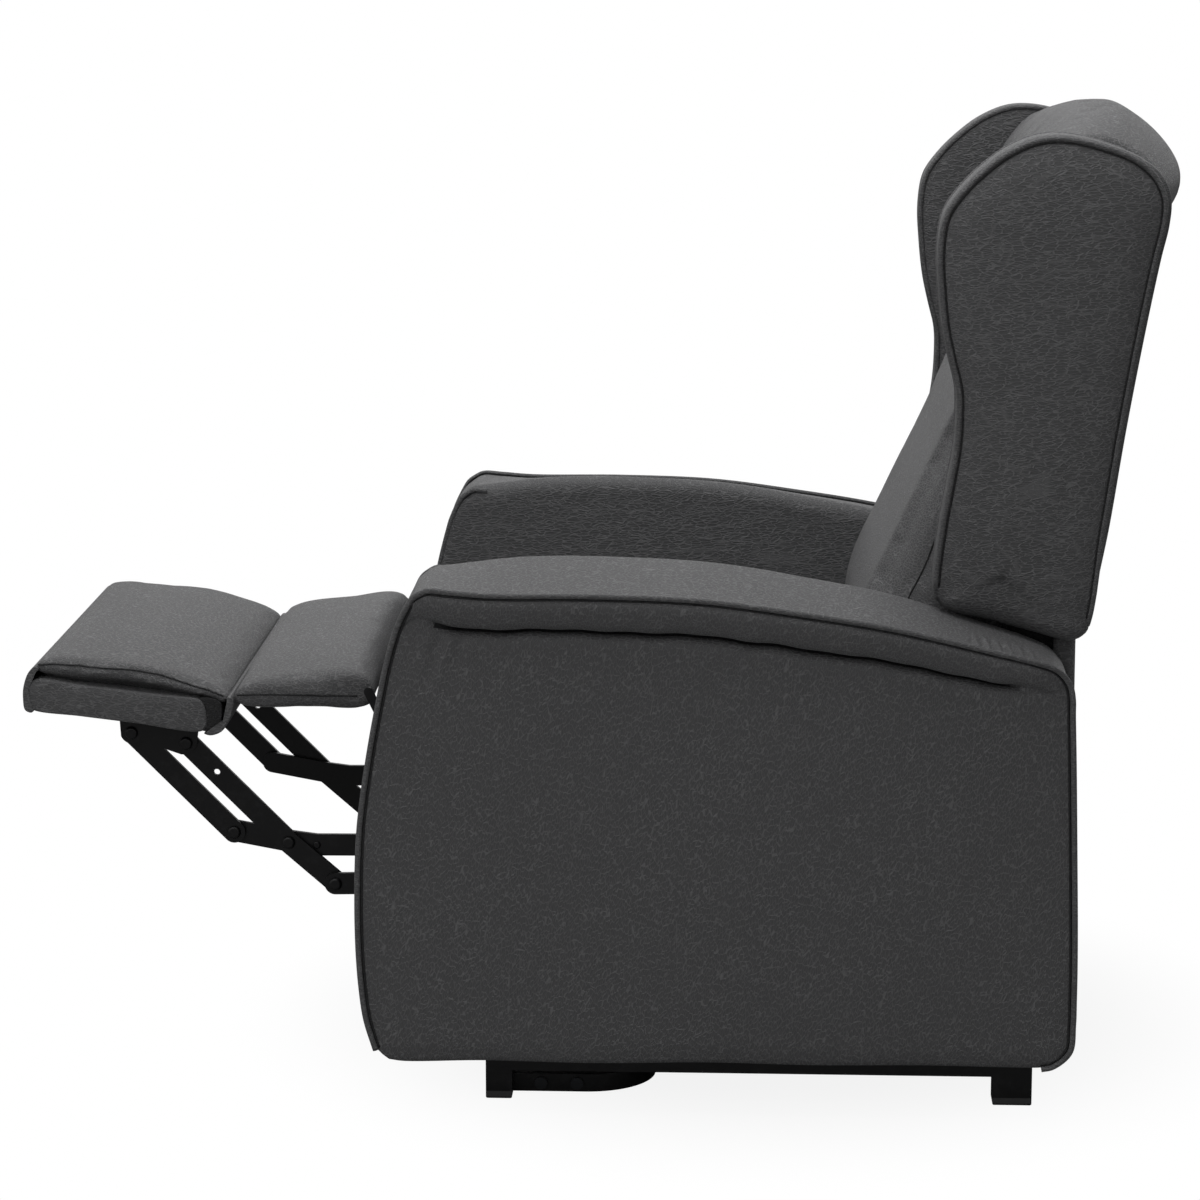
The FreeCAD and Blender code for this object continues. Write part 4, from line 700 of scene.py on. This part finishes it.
def make_arms():
    """Both arms with their cords."""
    points, faces, outer_x, edge, soft, rise = arm_mesh()
    thick = sizes().piping * 1000
    rows, columns = arm_grid().shape[:2]
    # the border from a little before the front corner on, every fourth point
    upward = np.arange(columns - 6, len(edge))[::4]
    line = at_x(outer_x + 1.3, edge + soft * 1.8)[upward]
    # dark cords of painted shade run above and under the piping, where its crease falls in shadow
    above = at_x(outer_x - 2.6, edge + soft * 1.9)[upward]
    under = at_x(outer_x + 0.7, edge - soft * (thick - 0.3))[upward]
    # the inner cord runs up the front and sinks into the top
    front = [k for k in range(columns - 6, len(edge)) if edge[k, 0] < -340][::4]
    sunk = ease(edge[front, 0], -362, -342) * (soft[front, 1] > 0.3)
    inner = at_x(ARM_INNER + 3.2, edge[front] + soft[front] * (rise[front] - 2.4 - 4.5 * sunk)[:, None])
    cords = (("_arm_piping", tube(smooth(line, 460), thick), band_cloth()),
             ("_arm_piping_shade_line", tube(smooth(under, 460), 1.4, 6), shade_and_dark_cloth()),
             ("_arm_piping_top_shade_line", tube(smooth(above, 460), 1.2, 6), shade_and_dark_cloth()),
             ("_arm_inner_piping", tube(smooth(inner, 300), thick), band_cloth()))
    # painted shade: the bottom of the fold under the roll, where no light comes, takes the dark cloth
    outs = [out for out, down, flat in ROLL_SECTION]
    deep = [rows - 2 - k for k in range(len(outs) - 1) if max(outs[k:k + 2]) < -0.5]
    shaded = {r * (columns - 1) + c for r in deep for c in range(columns - 1)
              if -352 < points[r * columns + c][1] < 262}
    for name, side in SIDES:
        arm = new_piece(name + "_arm", points, faces, side_cloth(), "chassis", side)
        for material in (top_cloth(), wing_cloth(), shade_and_dark_cloth()):
            arm.data.materials.append(material)
        for polygon in arm.data.polygons:
            if polygon.index in shaded:
                polygon.material_index = 3
            elif polygon.normal[2] > 0.45:
                polygon.material_index = 1
            elif polygon.normal[0] * side < -0.6:
                polygon.material_index = 2
        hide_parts(name + "_arm_cover", name + "_arm_pad")
        for kind, cord, material in cords:
            new_piece(name + kind, *cord, material, "chassis", side)


# ---------------------------------------------------------------- back

WING_EDGE = [(185, 567), (191, 634), (198, 677), (205, 721), (207, 754), (206, 786), (198, 819), (191, 851),
             (186, 894), (184, 936), (190, 974), (207, 1000), (231, 1024), (257, 1043), (289, 1056), (321, 1057),
             (366, 1046), (399, 1032), (420, 1014), (429, 991), (428, 964), (420, 927), (406, 852), (388, 744),
             (372, 635), (362, 580), (355, 537), (349, 518), (336, 511), (290, 521), (245, 533), (203, 543),
             (190, 552)]
WING_SPINE = [(262, 596), (272, 680), (288, 780), (298, 880), (304, 950)]

# x of the outer face's middle and of the inner face, and how wide the face's rim is
WING_OUTER, WING_INNER, WING_RIM = 302.0, 239.5, 52
# the boxing from the outer face to the inner one: x, and how far it is drawn in
WING_BOXING = [(289.0, 1.4), (286.0, -0.2), (280.0, -1.0), (271.0, -1.2), (262.0, -1.2), (252.0, -1.0),
               (246.5, -0.2), (243.4, 1.2), (241.4, 4.5), (240.2, 10.0), (239.5, 22.0), (239.5, 40.0)]
WING_CORNER = (188, 556)


def make_wings():
    """Both wings with their cords."""
    edge = smooth(WING_EDGE, 280, closed=True)
    normal = outward(edge)
    spine = smooth(WING_SPINE, 26)
    nearest = np.array([spine[np.argmin(np.hypot(*(spine - p).T))] for p in edge])
    inward = softened(nearest - edge, 16)
    reach = np.linalg.norm(inward, axis=1)
    inward /= reach[:, None]
    rear = ease(normal[:, 0], 0.3, 0.95) * ease(edge[:, 1], 560, 640)
    low = ease(-normal[:, 1], 0.25, 0.85) * (1 - ease(edge[:, 1], 570, 590))
    seam = 2.0 + 4.5 * rear + 1.0 * ease(normal[:, 1], 0.2, 0.9)

    def drawn_in(x, inset):
        return at_x(x, edge + inward * (inset + np.zeros(len(edge)))[:, None])

    def closest(place):
        return int(np.argmin(np.hypot(edge[:, 0] - place[0], edge[:, 1] - place[1])))

    face = [at_x(WING_OUTER, nearest)]
    for share in (0.25, 0.45, 0.65, 0.85):
        face.append(drawn_in(WING_OUTER - 1.5 * share ** 2, reach - (reach - WING_RIM) * share))
    for inset in (WING_RIM, 40, 30, 22, 15, 9.5, 5.5, 2.5, 0.8):
        puffed = WING_OUTER - 1.5 - 10.0 * (1 - inset / WING_RIM) ** 2.2
        rounded = 284.0 + 16.5 * math.sqrt(1 - (1 - min(inset / 22, 1)) ** 2)
        face.append(drawn_in(puffed + (rounded - puffed) * low, seam + inset))
    around = [drawn_in(x - 6 * low * (x > 284), inset + (seam * 0.7 if x > 288 else 0) + 1.5 * low)
              for x, inset in WING_BOXING]
    inner = [drawn_in(WING_INNER, 40 + (reach - 40) * share) for share in (0.3, 0.6)]
    points, faces = joined(*ring_mesh(face + around + inner + [at_x(WING_INNER, nearest)], fans=False))
    # the outer cord starts and ends at the two lower corners, and the inner one runs up the front and over the top
    thick = sizes().piping * 1000
    cords = []
    for kind, material, x, out, last, radius in (
            ("_wing_piping", band_cloth(), 291.0, -0.2 - seam, (350, 522), thick),
            # a dark cord of painted shade beside the outer piping
            ("_wing_piping_shade_line", shade_and_dark_cloth(), 292.6, -3.6 - seam, (350, 522), 1.1),
            ("_wing_inner_piping", band_cloth(), 242.6, np.full(len(edge), -1.6), (392, 1035), thick)):
        start = closest(WING_CORNER)
        line = np.roll(at_x(x, edge + normal * out[:, None]), -start, 0)[:(closest(last) - start) % len(edge)]
        ends = np.minimum(np.arange(len(line)), np.arange(len(line))[::-1])
        line[:, 0] += (5.0 if x < 260 else -5.0) * (1 - ease(ends, 0, 4))
        cords.append((kind, tube(smooth(line[::2], 440), radius, 10 if radius > 2 else 6), material))
    for name, side in SIDES:
        wing = new_piece(name + "_wing_pad", points, faces, wing_cloth(), "back", side)
        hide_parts(name + "_wing")
        for kind, cord, material in cords:
            new_piece(name + kind, *cord, material, "back", side)


def cushion(name, nodes, section, half, body, material, edge_round=10.0, count=150, end_bulge=3.0, columns=34,
            swell=0.0):
    """A closed cushion with rounded ends, from its side outline at each distance from the middle."""
    turns = np.linspace(0, math.pi / 2, 6)[:-1]
    corner = [(half - edge_round * (1 - math.cos(a)), edge_round * (1 - math.sin(a))) for a in turns]
    stations = ([(-x, inset) for x, inset in corner]
                + [(x, 0.0) for x in np.linspace(edge_round - half, half - edge_round, columns)] + corner[::-1])
    # what cloth will swell is drawn in by some of it beforehand
    room = swell * 0.4
    rings = [loop_at(smooth(section(abs(x)), count, closed=True), x, inset + room) for x, inset in stations]
    edge = smooth(section(half), count, closed=True)
    left = caps(edge, -half, edge_round + room, -end_bulge)
    right = caps(edge, half, edge_round + room, end_bulge)
    points, faces = ring_mesh(left[::-1] + rings + right)
    piece = new_piece(name, points, faces, material, body)
    if swell:
        plump(piece, swell)
    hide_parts(*nodes)
    return piece


def crowned(outline, height, half):
    """Side outlines that swell upward towards the middle, for cushion()."""
    edge = np.asarray(outline, float)
    upward = ease(outward(edge)[:, 1], 0.25, 0.9)

    def section(x):
        return edge + np.column_stack([np.zeros(len(edge)), upward * height * (1 - (x / half) ** 2.6)])

    return section


SEAM_RADIUS = 1.1


def sewn(name, piece, path, body):
    """Two seams pressed onto a cushion's skin as dark cords of painted shade, where the seam's crease falls in shadow:
    one on the sitter's left along the path, and its mirror image.
    """
    for end, side in SIDES:
        line = [(side * x, y, z) for x, y, z in smooth(path, 140)]
        cord = tube(pressed_on(piece, line), SEAM_RADIUS, 6)
        new_piece(name + "_" + end, *cord, shade_and_dark_cloth(), body)


BACK_FRONT = [(236, 800), (211, 751), (194, 712), (160, 640), (137, 590), (114, 541), (103, 511), (97, 470),
              (103, 442)]
# how much of the crown and of the roll each of those points follows
BACK_LEAN = [0.35, 0.8, 1, 1, 1, 1, 1, 1, 0.7]


def back_section(x):
    """The back cushion is a bolster: level over the middle, and rolled back towards the wings."""
    roll = 44.0 * (1 - math.sqrt(1 - min(max((x - 184) / 53, 0), 1) ** 2))
    crown = -3.0 * min(x / 200, 1) ** 2.4
    shifted = [(y + (roll - crown) * k, z - (roll - crown) * k * 0.25) for (y, z), k in zip(BACK_FRONT, BACK_LEAN)]
    return [(262, 470), (318, 812), (300, 822), (262, 818), *shifted, (150, 432), (200, 437)]


BACK_HALF = 236.0


def make_back_cushion():
    """The back cushion and its seams beside the wings."""
    piece = cushion("back_pad", ["back_cushion"], back_section, BACK_HALF, "back", top_cloth(), edge_round=12,
                    swell=7.0)
    sewn("back_pad_seam_shade", piece, [(231, 236, 742), (231, 208, 672), (231, 192, 630), (231, 177, 589), (231, 159, 547),
                                  (231, 146, 500)], "back")


HEADREST_ROUND = [(453, 965), (463, 982), (465, 1000), (457, 1020), (438, 1044), (416, 1062), (390, 1077),
                  (372, 1080), (351, 1079), (328, 1071), (312, 1056), (297, 1034), (281, 1000), (264, 930),
                  (248, 850)]


def headrest_section(x):
    """The headrest domes over the top of the back: full in the middle and lower beside the wings."""
    share = (x / BACK_HALF) ** 2
    reach = 1 - 38 / 213 * share
    drop = 1 - 0.253 * share
    skin = [(250 + (y - 250) * reach, z if z < 985 else 985 + (z - 985) * drop) for y, z in HEADREST_ROUND]
    rear = skin[0][0]
    return [(250, 834), (280, 827), (321, 829), (346, 977), (400, 980), (411, 969), ((411 + rear) / 2, 954), *skin]


def make_headrest():
    """The headrest's cushion."""
    cushion("headrest_pad", ["headrest_cushion"], headrest_section, BACK_HALF, "back", top_cloth(), edge_round=9,
            count=200, columns=42, swell=4.0)


SEAT_OUTLINE = [(-405, 398), (75, 398), (79, 420), (76, 465), (60, 476), (-150, 483), (-385, 477), (-415, 471),
                (-428, 458), (-425, 449), (-407, 447), (-406, 420)]


def make_seat():
    """The seat cushion and its seams along the arms."""
    piece = cushion("seat_pad", ["seat_cushion"], crowned(SEAT_OUTLINE, 8.0, 258.0), 257.0, "chassis", top_cloth(),
                    edge_round=12, swell=6.0)
    sewn("seat_pad_seam_shade", piece, [(254, -408, 466), (254, -384, 470), (254, -150, 475), (254, 56, 469)], "chassis")


def make_seat_cloth():
    """Black cloth stapled over the seat's frame: down its front rail, over the top and down its rear rail."""
    skin = [(-404.2, 328.5), (-404.2, 396.6), (170.0, 396.6), (170.0, 328.5), (168.6, 328.5), (168.6, 396),
            (-402.6, 396), (-402.6, 328.5)]
    rings = [loop_at(np.array(skin[::-1], float), x) for x in np.linspace(-261, 261, 5)]
    new_piece("seat_frame_cloth", *ring_mesh(rings), shade_and_dark_cloth(), "chassis")


# ---------------------------------------------------------------- footrest


def footrest_section(x):
    """The footrest's pad: crowned on top, and at its two ends only a band below the seam."""
    band = float(ease(x, 205, 238))
    rise = 8.0 * (1 - (x / 244) ** 2.4)
    top = [(-812, 467, 0.1), (-790, 470, 0.6), (-736, 466, 1), (-679, 460, 1), (-635, 448, 0.85), (-596, 434, 0.2)]
    low = [(-590, 428, 0), (-595, 420, 0), (-612, 417, 9), (-655, 421, 15), (-700, 427, 16), (-760, 436, 13),
           (-798, 443, 9)]
    return [(y, z + rise * k) for y, z, k in top] + [(y, z + band * k) for y, z, k in low] + [(-812, 452 + 3 * band)]


WRAP_OUTLINE = [(-814, 414), (-820, 421), (-821, 436), (-811, 448), (-760, 443), (-700, 436), (-650, 431),
                (-626, 427.5), (-621, 421), (-619, 398), (-624, 391.5), (-700, 400), (-760, 407)]
LINING = [(-630, 427), (-604, 425), (-602.5, 400), (-605, 392), (-630, 395)]
TIP_SHEET = [(-809, 464), (-817, 457), (-823, 441), (-824, 427), (-822, 414), (-815, 411), (-812, 414), (-817, 420),
             (-819, 429), (-818, 442), (-812, 454), (-806, 460)]
REAR_FLAP = [(-592, 431), (-588.5, 423), (-592, 407), (-602, 391.5), (-615, 387), (-622, 389.5), (-615, 390.5),
             (-604, 395), (-595.5, 408), (-592.5, 423), (-596, 429)]
FOOTREST_HALF = 244.5


def plain(outline):
    """The same side outline at every distance from the middle, for cushion()."""
    return lambda x: outline


def make_footrest():
    """The footrest's cushion with its seams, its padded base, and the thin cloth at its tip and rear."""
    pad = cushion("footrest_pad", ["footrest_cushion"], footrest_section, FOOTREST_HALF, "footrest", top_cloth(),
                  edge_round=9, count=190, end_bulge=1.5, swell=3.5)
    sewn("footrest_seam_shade", pad, [(243, -811, 467), (243, -790, 468.5), (243, -736, 464.5), (243, -679, 458.5),
                                (243, -635, 446.5), (243, -597, 433)], "footrest")
    cushion("footrest_wrap", ["footrest_base_cover"], plain(WRAP_OUTLINE), 244.0, "footrest", band_cloth(),
            edge_round=3, count=170, end_bulge=1.2)
    cushion("footrest_lining", [], plain(LINING), 241.8, "footrest", shade_and_dark_cloth(), edge_round=1.0, count=60,
            end_bulge=0.1)
    for name, outline in (("footrest_tip_cloth", TIP_SHEET), ("footrest_rear_cloth", REAR_FLAP)):
        cushion(name, [], plain(outline), FOOTREST_HALF, "footrest", band_cloth(), edge_round=1.2, count=110,
                end_bulge=0.1)


CALF_OUTLINE = [(-583, 419.5), (-588, 424), (-590, 431), (-585, 438), (-565, 446), (-500, 454), (-460, 460),
                (-444, 458), (-433, 447), (-429, 437), (-430, 427), (-436, 420), (-500, 418.5)]


def make_calf_pad():
    """The calf pad and its seams."""
    pad = cushion("calf_pad_cover", ["calf_cushion", "calf_board"], crowned(CALF_OUTLINE, 11.0, 244.0), FOOTREST_HALF,
                  "calf_pad", top_cloth(), edge_round=4, count=170, end_bulge=1.0, swell=3.0)
    sewn("calf_pad_seam_shade", pad, [(243, -586, 433), (243, -560, 434), (243, -500, 434), (243, -450, 433.5)], "calf_pad")


# ---------------------------------------------------------------- rear


def post_y(z):
    """Middle line of the back's posts at a height."""
    return 300 + (z - 450) * 80 / 522


PANEL_ROWS, PANEL_COLUMNS = 40, 60
# how far the sewn-down edge of a panel reaches in: across it in millimetres, and along it in rows
PANEL_HEM = (26, 5)


def panel(name, node, line, half, thick, puff, body):
    """A thin padded panel across the chair, along a side line of (y, z), puffed to the rear and sewn down at its
    edges."""
    line = smooth(line, PANEL_ROWS)
    away = beside(line)
    x = np.linspace(-half, half, PANEL_COLUMNS)
    row = np.arange(PANEL_ROWS)
    u = np.clip((half - np.abs(x)) / PANEL_HEM[0], 0, 1)[None, :]
    v = np.clip(np.minimum(row, row[::-1]) / PANEL_HEM[1], 0, 1)[:, None]
    swell = thick * np.minimum(1, 0.35 + 0.65 * np.minimum(u, v) ** 0.5 * 2) + puff * (u * v) ** 0.6
    rings = []
    for r in row:
        skin = at_x(x, line[r] + away[r] * swell[r][:, None])
        under = at_x(x[::-1], np.tile(line[r], (PANEL_COLUMNS, 1)))
        rings.append(np.vstack([skin, under])[::-1])
    piece = new_piece(name, *ring_mesh(rings), wing_cloth(), body)
    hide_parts(node)


def make_rear_covers():
    """The cover behind the back, the panel between the arms, and the cloth round them."""
    cover = [(post_y(z) + 29.2, z) for z in (512, 600, 700, 800, 880, 960)]
    panel("back_rear_panel", "back_rear_cover", cover, 237.0, 3.0, 3.5, "back")
    lower = [(316.5, z) for z in (69, 130, 200, 270, 340)]
    panel("seat_rear_panel", "rear_panel", lower, 261.5, 9.0, 4.0, "chassis")
    make_skirt()
    make_back_sides()


def make_back_sides():
    """Dark cloth over the sides of the back's posts, where they show below the wings."""
    outline = smooth([(262, 442), (262, 520), (266, 556), (330, 556), (345, 540), (340, 500), (330, 470), (324, 442)],
                     60, closed=True)
    rings = [loop_at(outline, x, inset) for x, inset in ((237.8, 1.5), (238.0, 0), (239.2, 0), (239.6, 1.5))]
    for name, side in SIDES:
        new_piece(name + "_back_side_cloth", *ring_mesh(rings), shade_and_dark_cloth(), "back", side)


SKIRT_TOP, SKIRT_FOOT = 508, 334.4
# half of the flap seen from above, from the end of its return to the middle
SKIRT_PLAN = [(255.5, 318), (257.5, 328), (257, 336), (252, 340.5), (228, 341.2), (120, 341.0), (0, 341.4)]


def make_skirt():
    """The flap of cloth that hangs from the foot of the back and laps over the rear panel."""
    path = smooth(np.array(SKIRT_PLAN + [(-x, y) for x, y in SKIRT_PLAN[-2::-1]], float), 150)
    heights = np.concatenate([[SKIRT_TOP, 507, 504], np.linspace(500, 344, 30), [339, 336, 334.6, SKIRT_FOOT]])
    rings = []
    for z in heights:
        # below the returns the flap ends at its corners
        bare = float(ease(400 - z, 0, 8))
        line = path.copy()
        line[:, 1] = np.clip(line[:, 1], 318 + 21.5 * bare, None)
        wave = 0.5 * np.sin(line[:, 0] / 31.0 + 0.6) * float(ease(SKIRT_TOP - z, 10, 120))
        normal = beside(line)
        hem = 1.1 + 0.8 * float(ease(346 - z, 0, 4)) * float(ease(z, SKIRT_FOOT, 336))
        outer = line + normal * (hem + wave)[:, None]
        inner = line - normal * (hem - wave)[:, None]
        loop = np.vstack([outer, inner[::-1]])
        rings.append(np.column_stack([loop, np.full(len(loop), z)]))
    piece = new_piece("rear_flap", *ring_mesh(rings), wing_cloth(), "back")
    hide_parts("rear_skirt")


# section of a strap with its two selvedges: along its width, and through it
STRAP = [(-26, -0.7), (-25, -0.9), (-22, -0.9), (-21, -0.6), (21, -0.6), (22, -0.9), (25, -0.9), (26, -0.7),
         (26, 0.5), (25, 0.7), (22, 0.7), (21, 0.4), (-21, 0.4), (-22, 0.7), (-25, 0.7), (-26, 0.5)]
STRAP_GIVE = 2.5


def make_webbing():
    """Elastic straps, each with thick selvedges, that give a little under the cushions."""
    for name, node, body, sag in (("seat_straps", "seat_webbing", "chassis", (0, 0, -1)),
                                  ("back_straps", "back_webbing", "back", (0, 1, 0))):
        shell = frame["nodes"][node].data
        corners = np.array([v.co for v in shell.vertices]) * 1000 - (0, SHIFT_Y, 0)
        ends = np.unique(np.round(corners, 2), axis=0)
        right = ends[ends[:, 0] > 0]
        half = right[0, 0]
        # four corners make one strap's end
        order = right[np.argsort(right[:, 2] if body == "back" else right[:, 1])]
        points, faces = np.zeros((0, 3)), []
        for corner in order.reshape(-1, 4, 3):
            middle = corner.mean(0)
            across = max((b - middle for b in corner), key=lambda d: np.linalg.norm(d))
            across = np.array((0, across[1], across[2]))
            across /= np.linalg.norm(across)
            up = np.cross((1, 0, 0), across)
            rings = []
            for x in np.linspace(-half, half, 40):
                place = np.array([x, middle[1], middle[2]]) + STRAP_GIVE * (1 - (x / half) ** 2) * np.array(sag)
                rings.append(np.array([place + across * a + up * b for a, b in STRAP]))
            more, skin = ring_mesh(rings)
            faces += [tuple(i + len(points) for i in f) for f in skin]
            points = np.vstack([points, more])
        straps = new_piece(name, points, faces, bpy.data.materials["elastic webbing, woven"], body, slot="webbing")
        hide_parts(node)


# ---------------------------------------------------------------- stage


FLOOR_REACH = 30.0
# the photograph's camera: where it stands in the chair's drawing, its pitch and yaw, and its focal length in
# pixels of a picture 1200 wide
CAMERA_PLACE = (4327.5, 0, 1331.5)
CAMERA_PITCH, CAMERA_YAW = 0.1902, 0.0440
FOCAL_PIXELS, PICTURE_WIDTH, SENSOR = 3777.75, 1200, 36.0
# name, size in metres, power in watts, place and aim of each lamp
LAMPS = (("overhead softbox", 2.0, 49, (0.1, 0.0, 3.0), (0, 0, 0.4)),
         ("camera side softbox", 2.2, 32, (3.0, -1.5, 2.5), (0, 0, 0.6)))
ROOM_LIGHT = 0.12


def make_floor(scene):
    """White studio paper that keeps its shadow near the chair and is plain white a step away from it."""
    mesh = bpy.data.meshes.new("floor")
    mesh.from_pydata([(x * FLOOR_REACH, y * FLOOR_REACH, 0) for x, y in ((-1, -1), (1, -1), (1, 1), (-1, 1))], [],
                     [(0, 1, 2, 3)])
    floor = bpy.data.objects.new("floor", mesh)
    scene.collection.objects.link(floor)
    m, place = finish_named("studio paper, white")
    paper = add(m, "BsdfDiffuse", {"Color": linear(colours().floor)})
    glow = add(m, "Emission", {"Color": (1, 1, 1, 1), "Strength": 1.0})
    middle = add(m, "Mapping", {"Vector": place, "Location": (0, -SHIFT_Y / 1000, 0)}).outputs["Vector"]
    away = add(m, "VectorMath", {0: middle}, operation="LENGTH").outputs["Value"]
    white = levels(m, away, (0.25, 0.65), (0.88, 1.0), interpolation_type="SMOOTHSTEP")
    part = maths(m, "MULTIPLY", add(m, "LightPath").outputs["Is Camera Ray"], white)
    show(m, add(m, "MixShader", {0: part, 1: paper.outputs[0], 2: glow.outputs[0]}))
    mesh.materials.append(m)


def make_room(scene):
    """A world that is white where it is seen or mirrored, and lights the chair only faintly."""
    world = bpy.data.worlds.new("studio")
    scene.world = world
    world.use_nodes = True
    world.node_tree.nodes.clear()
    rays = add(world, "LightPath").outputs
    back = add(world, "Background", {"Color": (1, 1, 1, 1)})
    soft = add(world, "Background", {"Color": (1, 1, 1, 1), "Strength": ROOM_LIGHT})
    seen = maths(world, "MAXIMUM", rays["Is Camera Ray"], rays["Is Glossy Ray"])
    pick = add(world, "MixShader", {0: seen, 1: soft.outputs[0], 2: back.outputs[0]})
    add(world, "OutputWorld", {"Surface": pick.outputs[0]})


def make_camera(scene):
    """The photograph's camera."""
    data = bpy.data.cameras.new("camera")
    camera = bpy.data.objects.new("camera", data)
    scene.collection.objects.link(camera)
    scene.camera = camera
    data.sensor_width = SENSOR
    data.lens = SENSOR * FOCAL_PIXELS / PICTURE_WIDTH
    data.clip_start, data.clip_end = 0.1, 100
    forward = Vector((-math.cos(CAMERA_PITCH) * math.cos(CAMERA_YAW), -math.cos(CAMERA_PITCH) * math.sin(CAMERA_YAW),
                      -math.sin(CAMERA_PITCH)))
    right = Vector((-math.sin(CAMERA_YAW), math.cos(CAMERA_YAW), 0))
    turn = Matrix((right, right.cross(forward), -forward)).transposed()
    camera.matrix_world = Matrix.Translation(Vector(metres([CAMERA_PLACE])[0])) @ turn.to_4x4()


def make_stage():
    """Floor, room, lamps and camera."""
    scene = bpy.context.scene
    scene.view_settings.view_transform = "Standard"
    make_floor(scene)
    make_room(scene)
    for name, size, power, place, aim in LAMPS:
        data = bpy.data.lights.new(name, "AREA")
        data.shape = "SQUARE"
        data.size = size
        data.energy = power
        light = bpy.data.objects.new(name, data)
        light.location = place
        light.rotation_mode = "QUATERNION"
        light.rotation_quaternion = (Vector(aim) - Vector(place)).to_track_quat("-Z", "Y")
        scene.collection.objects.link(light)
    make_camera(scene)


FINISHES = {
    "black_steel": lambda: coated_steel("powder-coated steel", colours().steel, colours().steel_worn),
    "zinc_steel": lambda: zinc_steel("zinc-plated steel, blackened", "#303133"),
    "black_plastic": lambda: moulded_plastic("ABS, moulded", colours().plastic, "#222223"),
    "plywood": lambda: plywood("birch plywood, raw", "#c9a878", "#a07c4c"),
    "webbing": lambda: elastic_webbing("elastic webbing, woven", "#26262a", "#3b3b40"),
    "leatherette": side_cloth,
}


def dress_frame():
    """Gives every shown part of the frame the finish of its material slot."""
    slots = {s["node"]: s["material_slot"] for s in frame["record"]["subparts"]}
    made = {}
    for node, piece in frame["nodes"].items():
        slot = slots[node]
        if slot not in made:
            made[slot] = FINISHES[slot]()
        piece.data.materials.clear()
        piece.data.materials.append(made[slot])
        if len(piece.data.polygons):
            piece.data.polygons.foreach_set("material_index", [0] * len(piece.data.polygons))


# ---------------------------------------------------------------- operators


class RECLINER_OT_frame(bpy.types.Operator):
    """Finish the steel, plastic, wood and webbing of the frame"""
    bl_idname = "recliner.frame"
    bl_label = "Frame finishes"

    def execute(self, context):
        dress_frame()
        return {"FINISHED"}


class RECLINER_OT_arms(bpy.types.Operator):
    """Upholster both arms with their rolls and piping"""
    bl_idname = "recliner.arms"
    bl_label = "Arms"

    def execute(self, context):
        make_arms()
        return {"FINISHED"}


class RECLINER_OT_wings(bpy.types.Operator):
    """Upholster both wings with their piping"""
    bl_idname = "recliner.wings"
    bl_label = "Wings"

    def execute(self, context):
        make_wings()
        return {"FINISHED"}


class RECLINER_OT_back(bpy.types.Operator):
    """Make the back cushion, the headrest and the covers behind them"""
    bl_idname = "recliner.back"
    bl_label = "Back"

    def execute(self, context):
        make_back_cushion()
        make_headrest()
        make_rear_covers()
        make_webbing()
        return {"FINISHED"}


class RECLINER_OT_seat(bpy.types.Operator):
    """Make the seat cushion"""
    bl_idname = "recliner.seat"
    bl_label = "Seat"

    def execute(self, context):
        make_seat()
        make_seat_cloth()
        return {"FINISHED"}


class RECLINER_OT_footrest(bpy.types.Operator):
    """Make the footrest's cushion and wrapped base, and the calf pad"""
    bl_idname = "recliner.footrest"
    bl_label = "Footrest"

    def execute(self, context):
        make_footrest()
        make_calf_pad()
        return {"FINISHED"}


class RECLINER_OT_stage(bpy.types.Operator):
    """Lay the floor, light it and set the camera"""
    bl_idname = "recliner.stage"
    bl_label = "Stage"

    def execute(self, context):
        make_stage()
        return {"FINISHED"}


OPERATORS = (RECLINER_OT_frame, RECLINER_OT_arms, RECLINER_OT_wings, RECLINER_OT_back, RECLINER_OT_seat,
             RECLINER_OT_footrest, RECLINER_OT_stage)


class RECLINER_PT_panel(bpy.types.Panel):
    """Steps of the recliner's dressing"""
    bl_label = "Recliner"
    bl_idname = "RECLINER_PT_panel"
    bl_space_type = "VIEW_3D"
    bl_region_type = "UI"
    bl_category = "Recliner"

    def draw(self, context):
        for group in (context.scene.recliner_colours, context.scene.recliner_sizes):
            for key in group.bl_rna.properties.keys()[2:]:
                self.layout.prop(group, key)
        for operator in OPERATORS:
            self.layout.operator(operator.bl_idname)


CLASSES = (ReclinerColours, ReclinerSizes, *OPERATORS, RECLINER_PT_panel)


def register():
    for each in CLASSES:
        bpy.utils.register_class(each)
    bpy.types.Scene.recliner_colours = bpy.props.PointerProperty(type=ReclinerColours)
    bpy.types.Scene.recliner_sizes = bpy.props.PointerProperty(type=ReclinerSizes)


def unregister():
    del bpy.types.Scene.recliner_sizes
    del bpy.types.Scene.recliner_colours
    for each in reversed(CLASSES):
        bpy.utils.unregister_class(each)


def main():
    register()
    bpy.ops.recliner.stage()
    bpy.ops.recliner.frame()
    bpy.ops.recliner.arms()
    bpy.ops.recliner.wings()
    bpy.ops.recliner.back()
    bpy.ops.recliner.seat()
    bpy.ops.recliner.footrest()


if __name__ == "__main__":
    main()
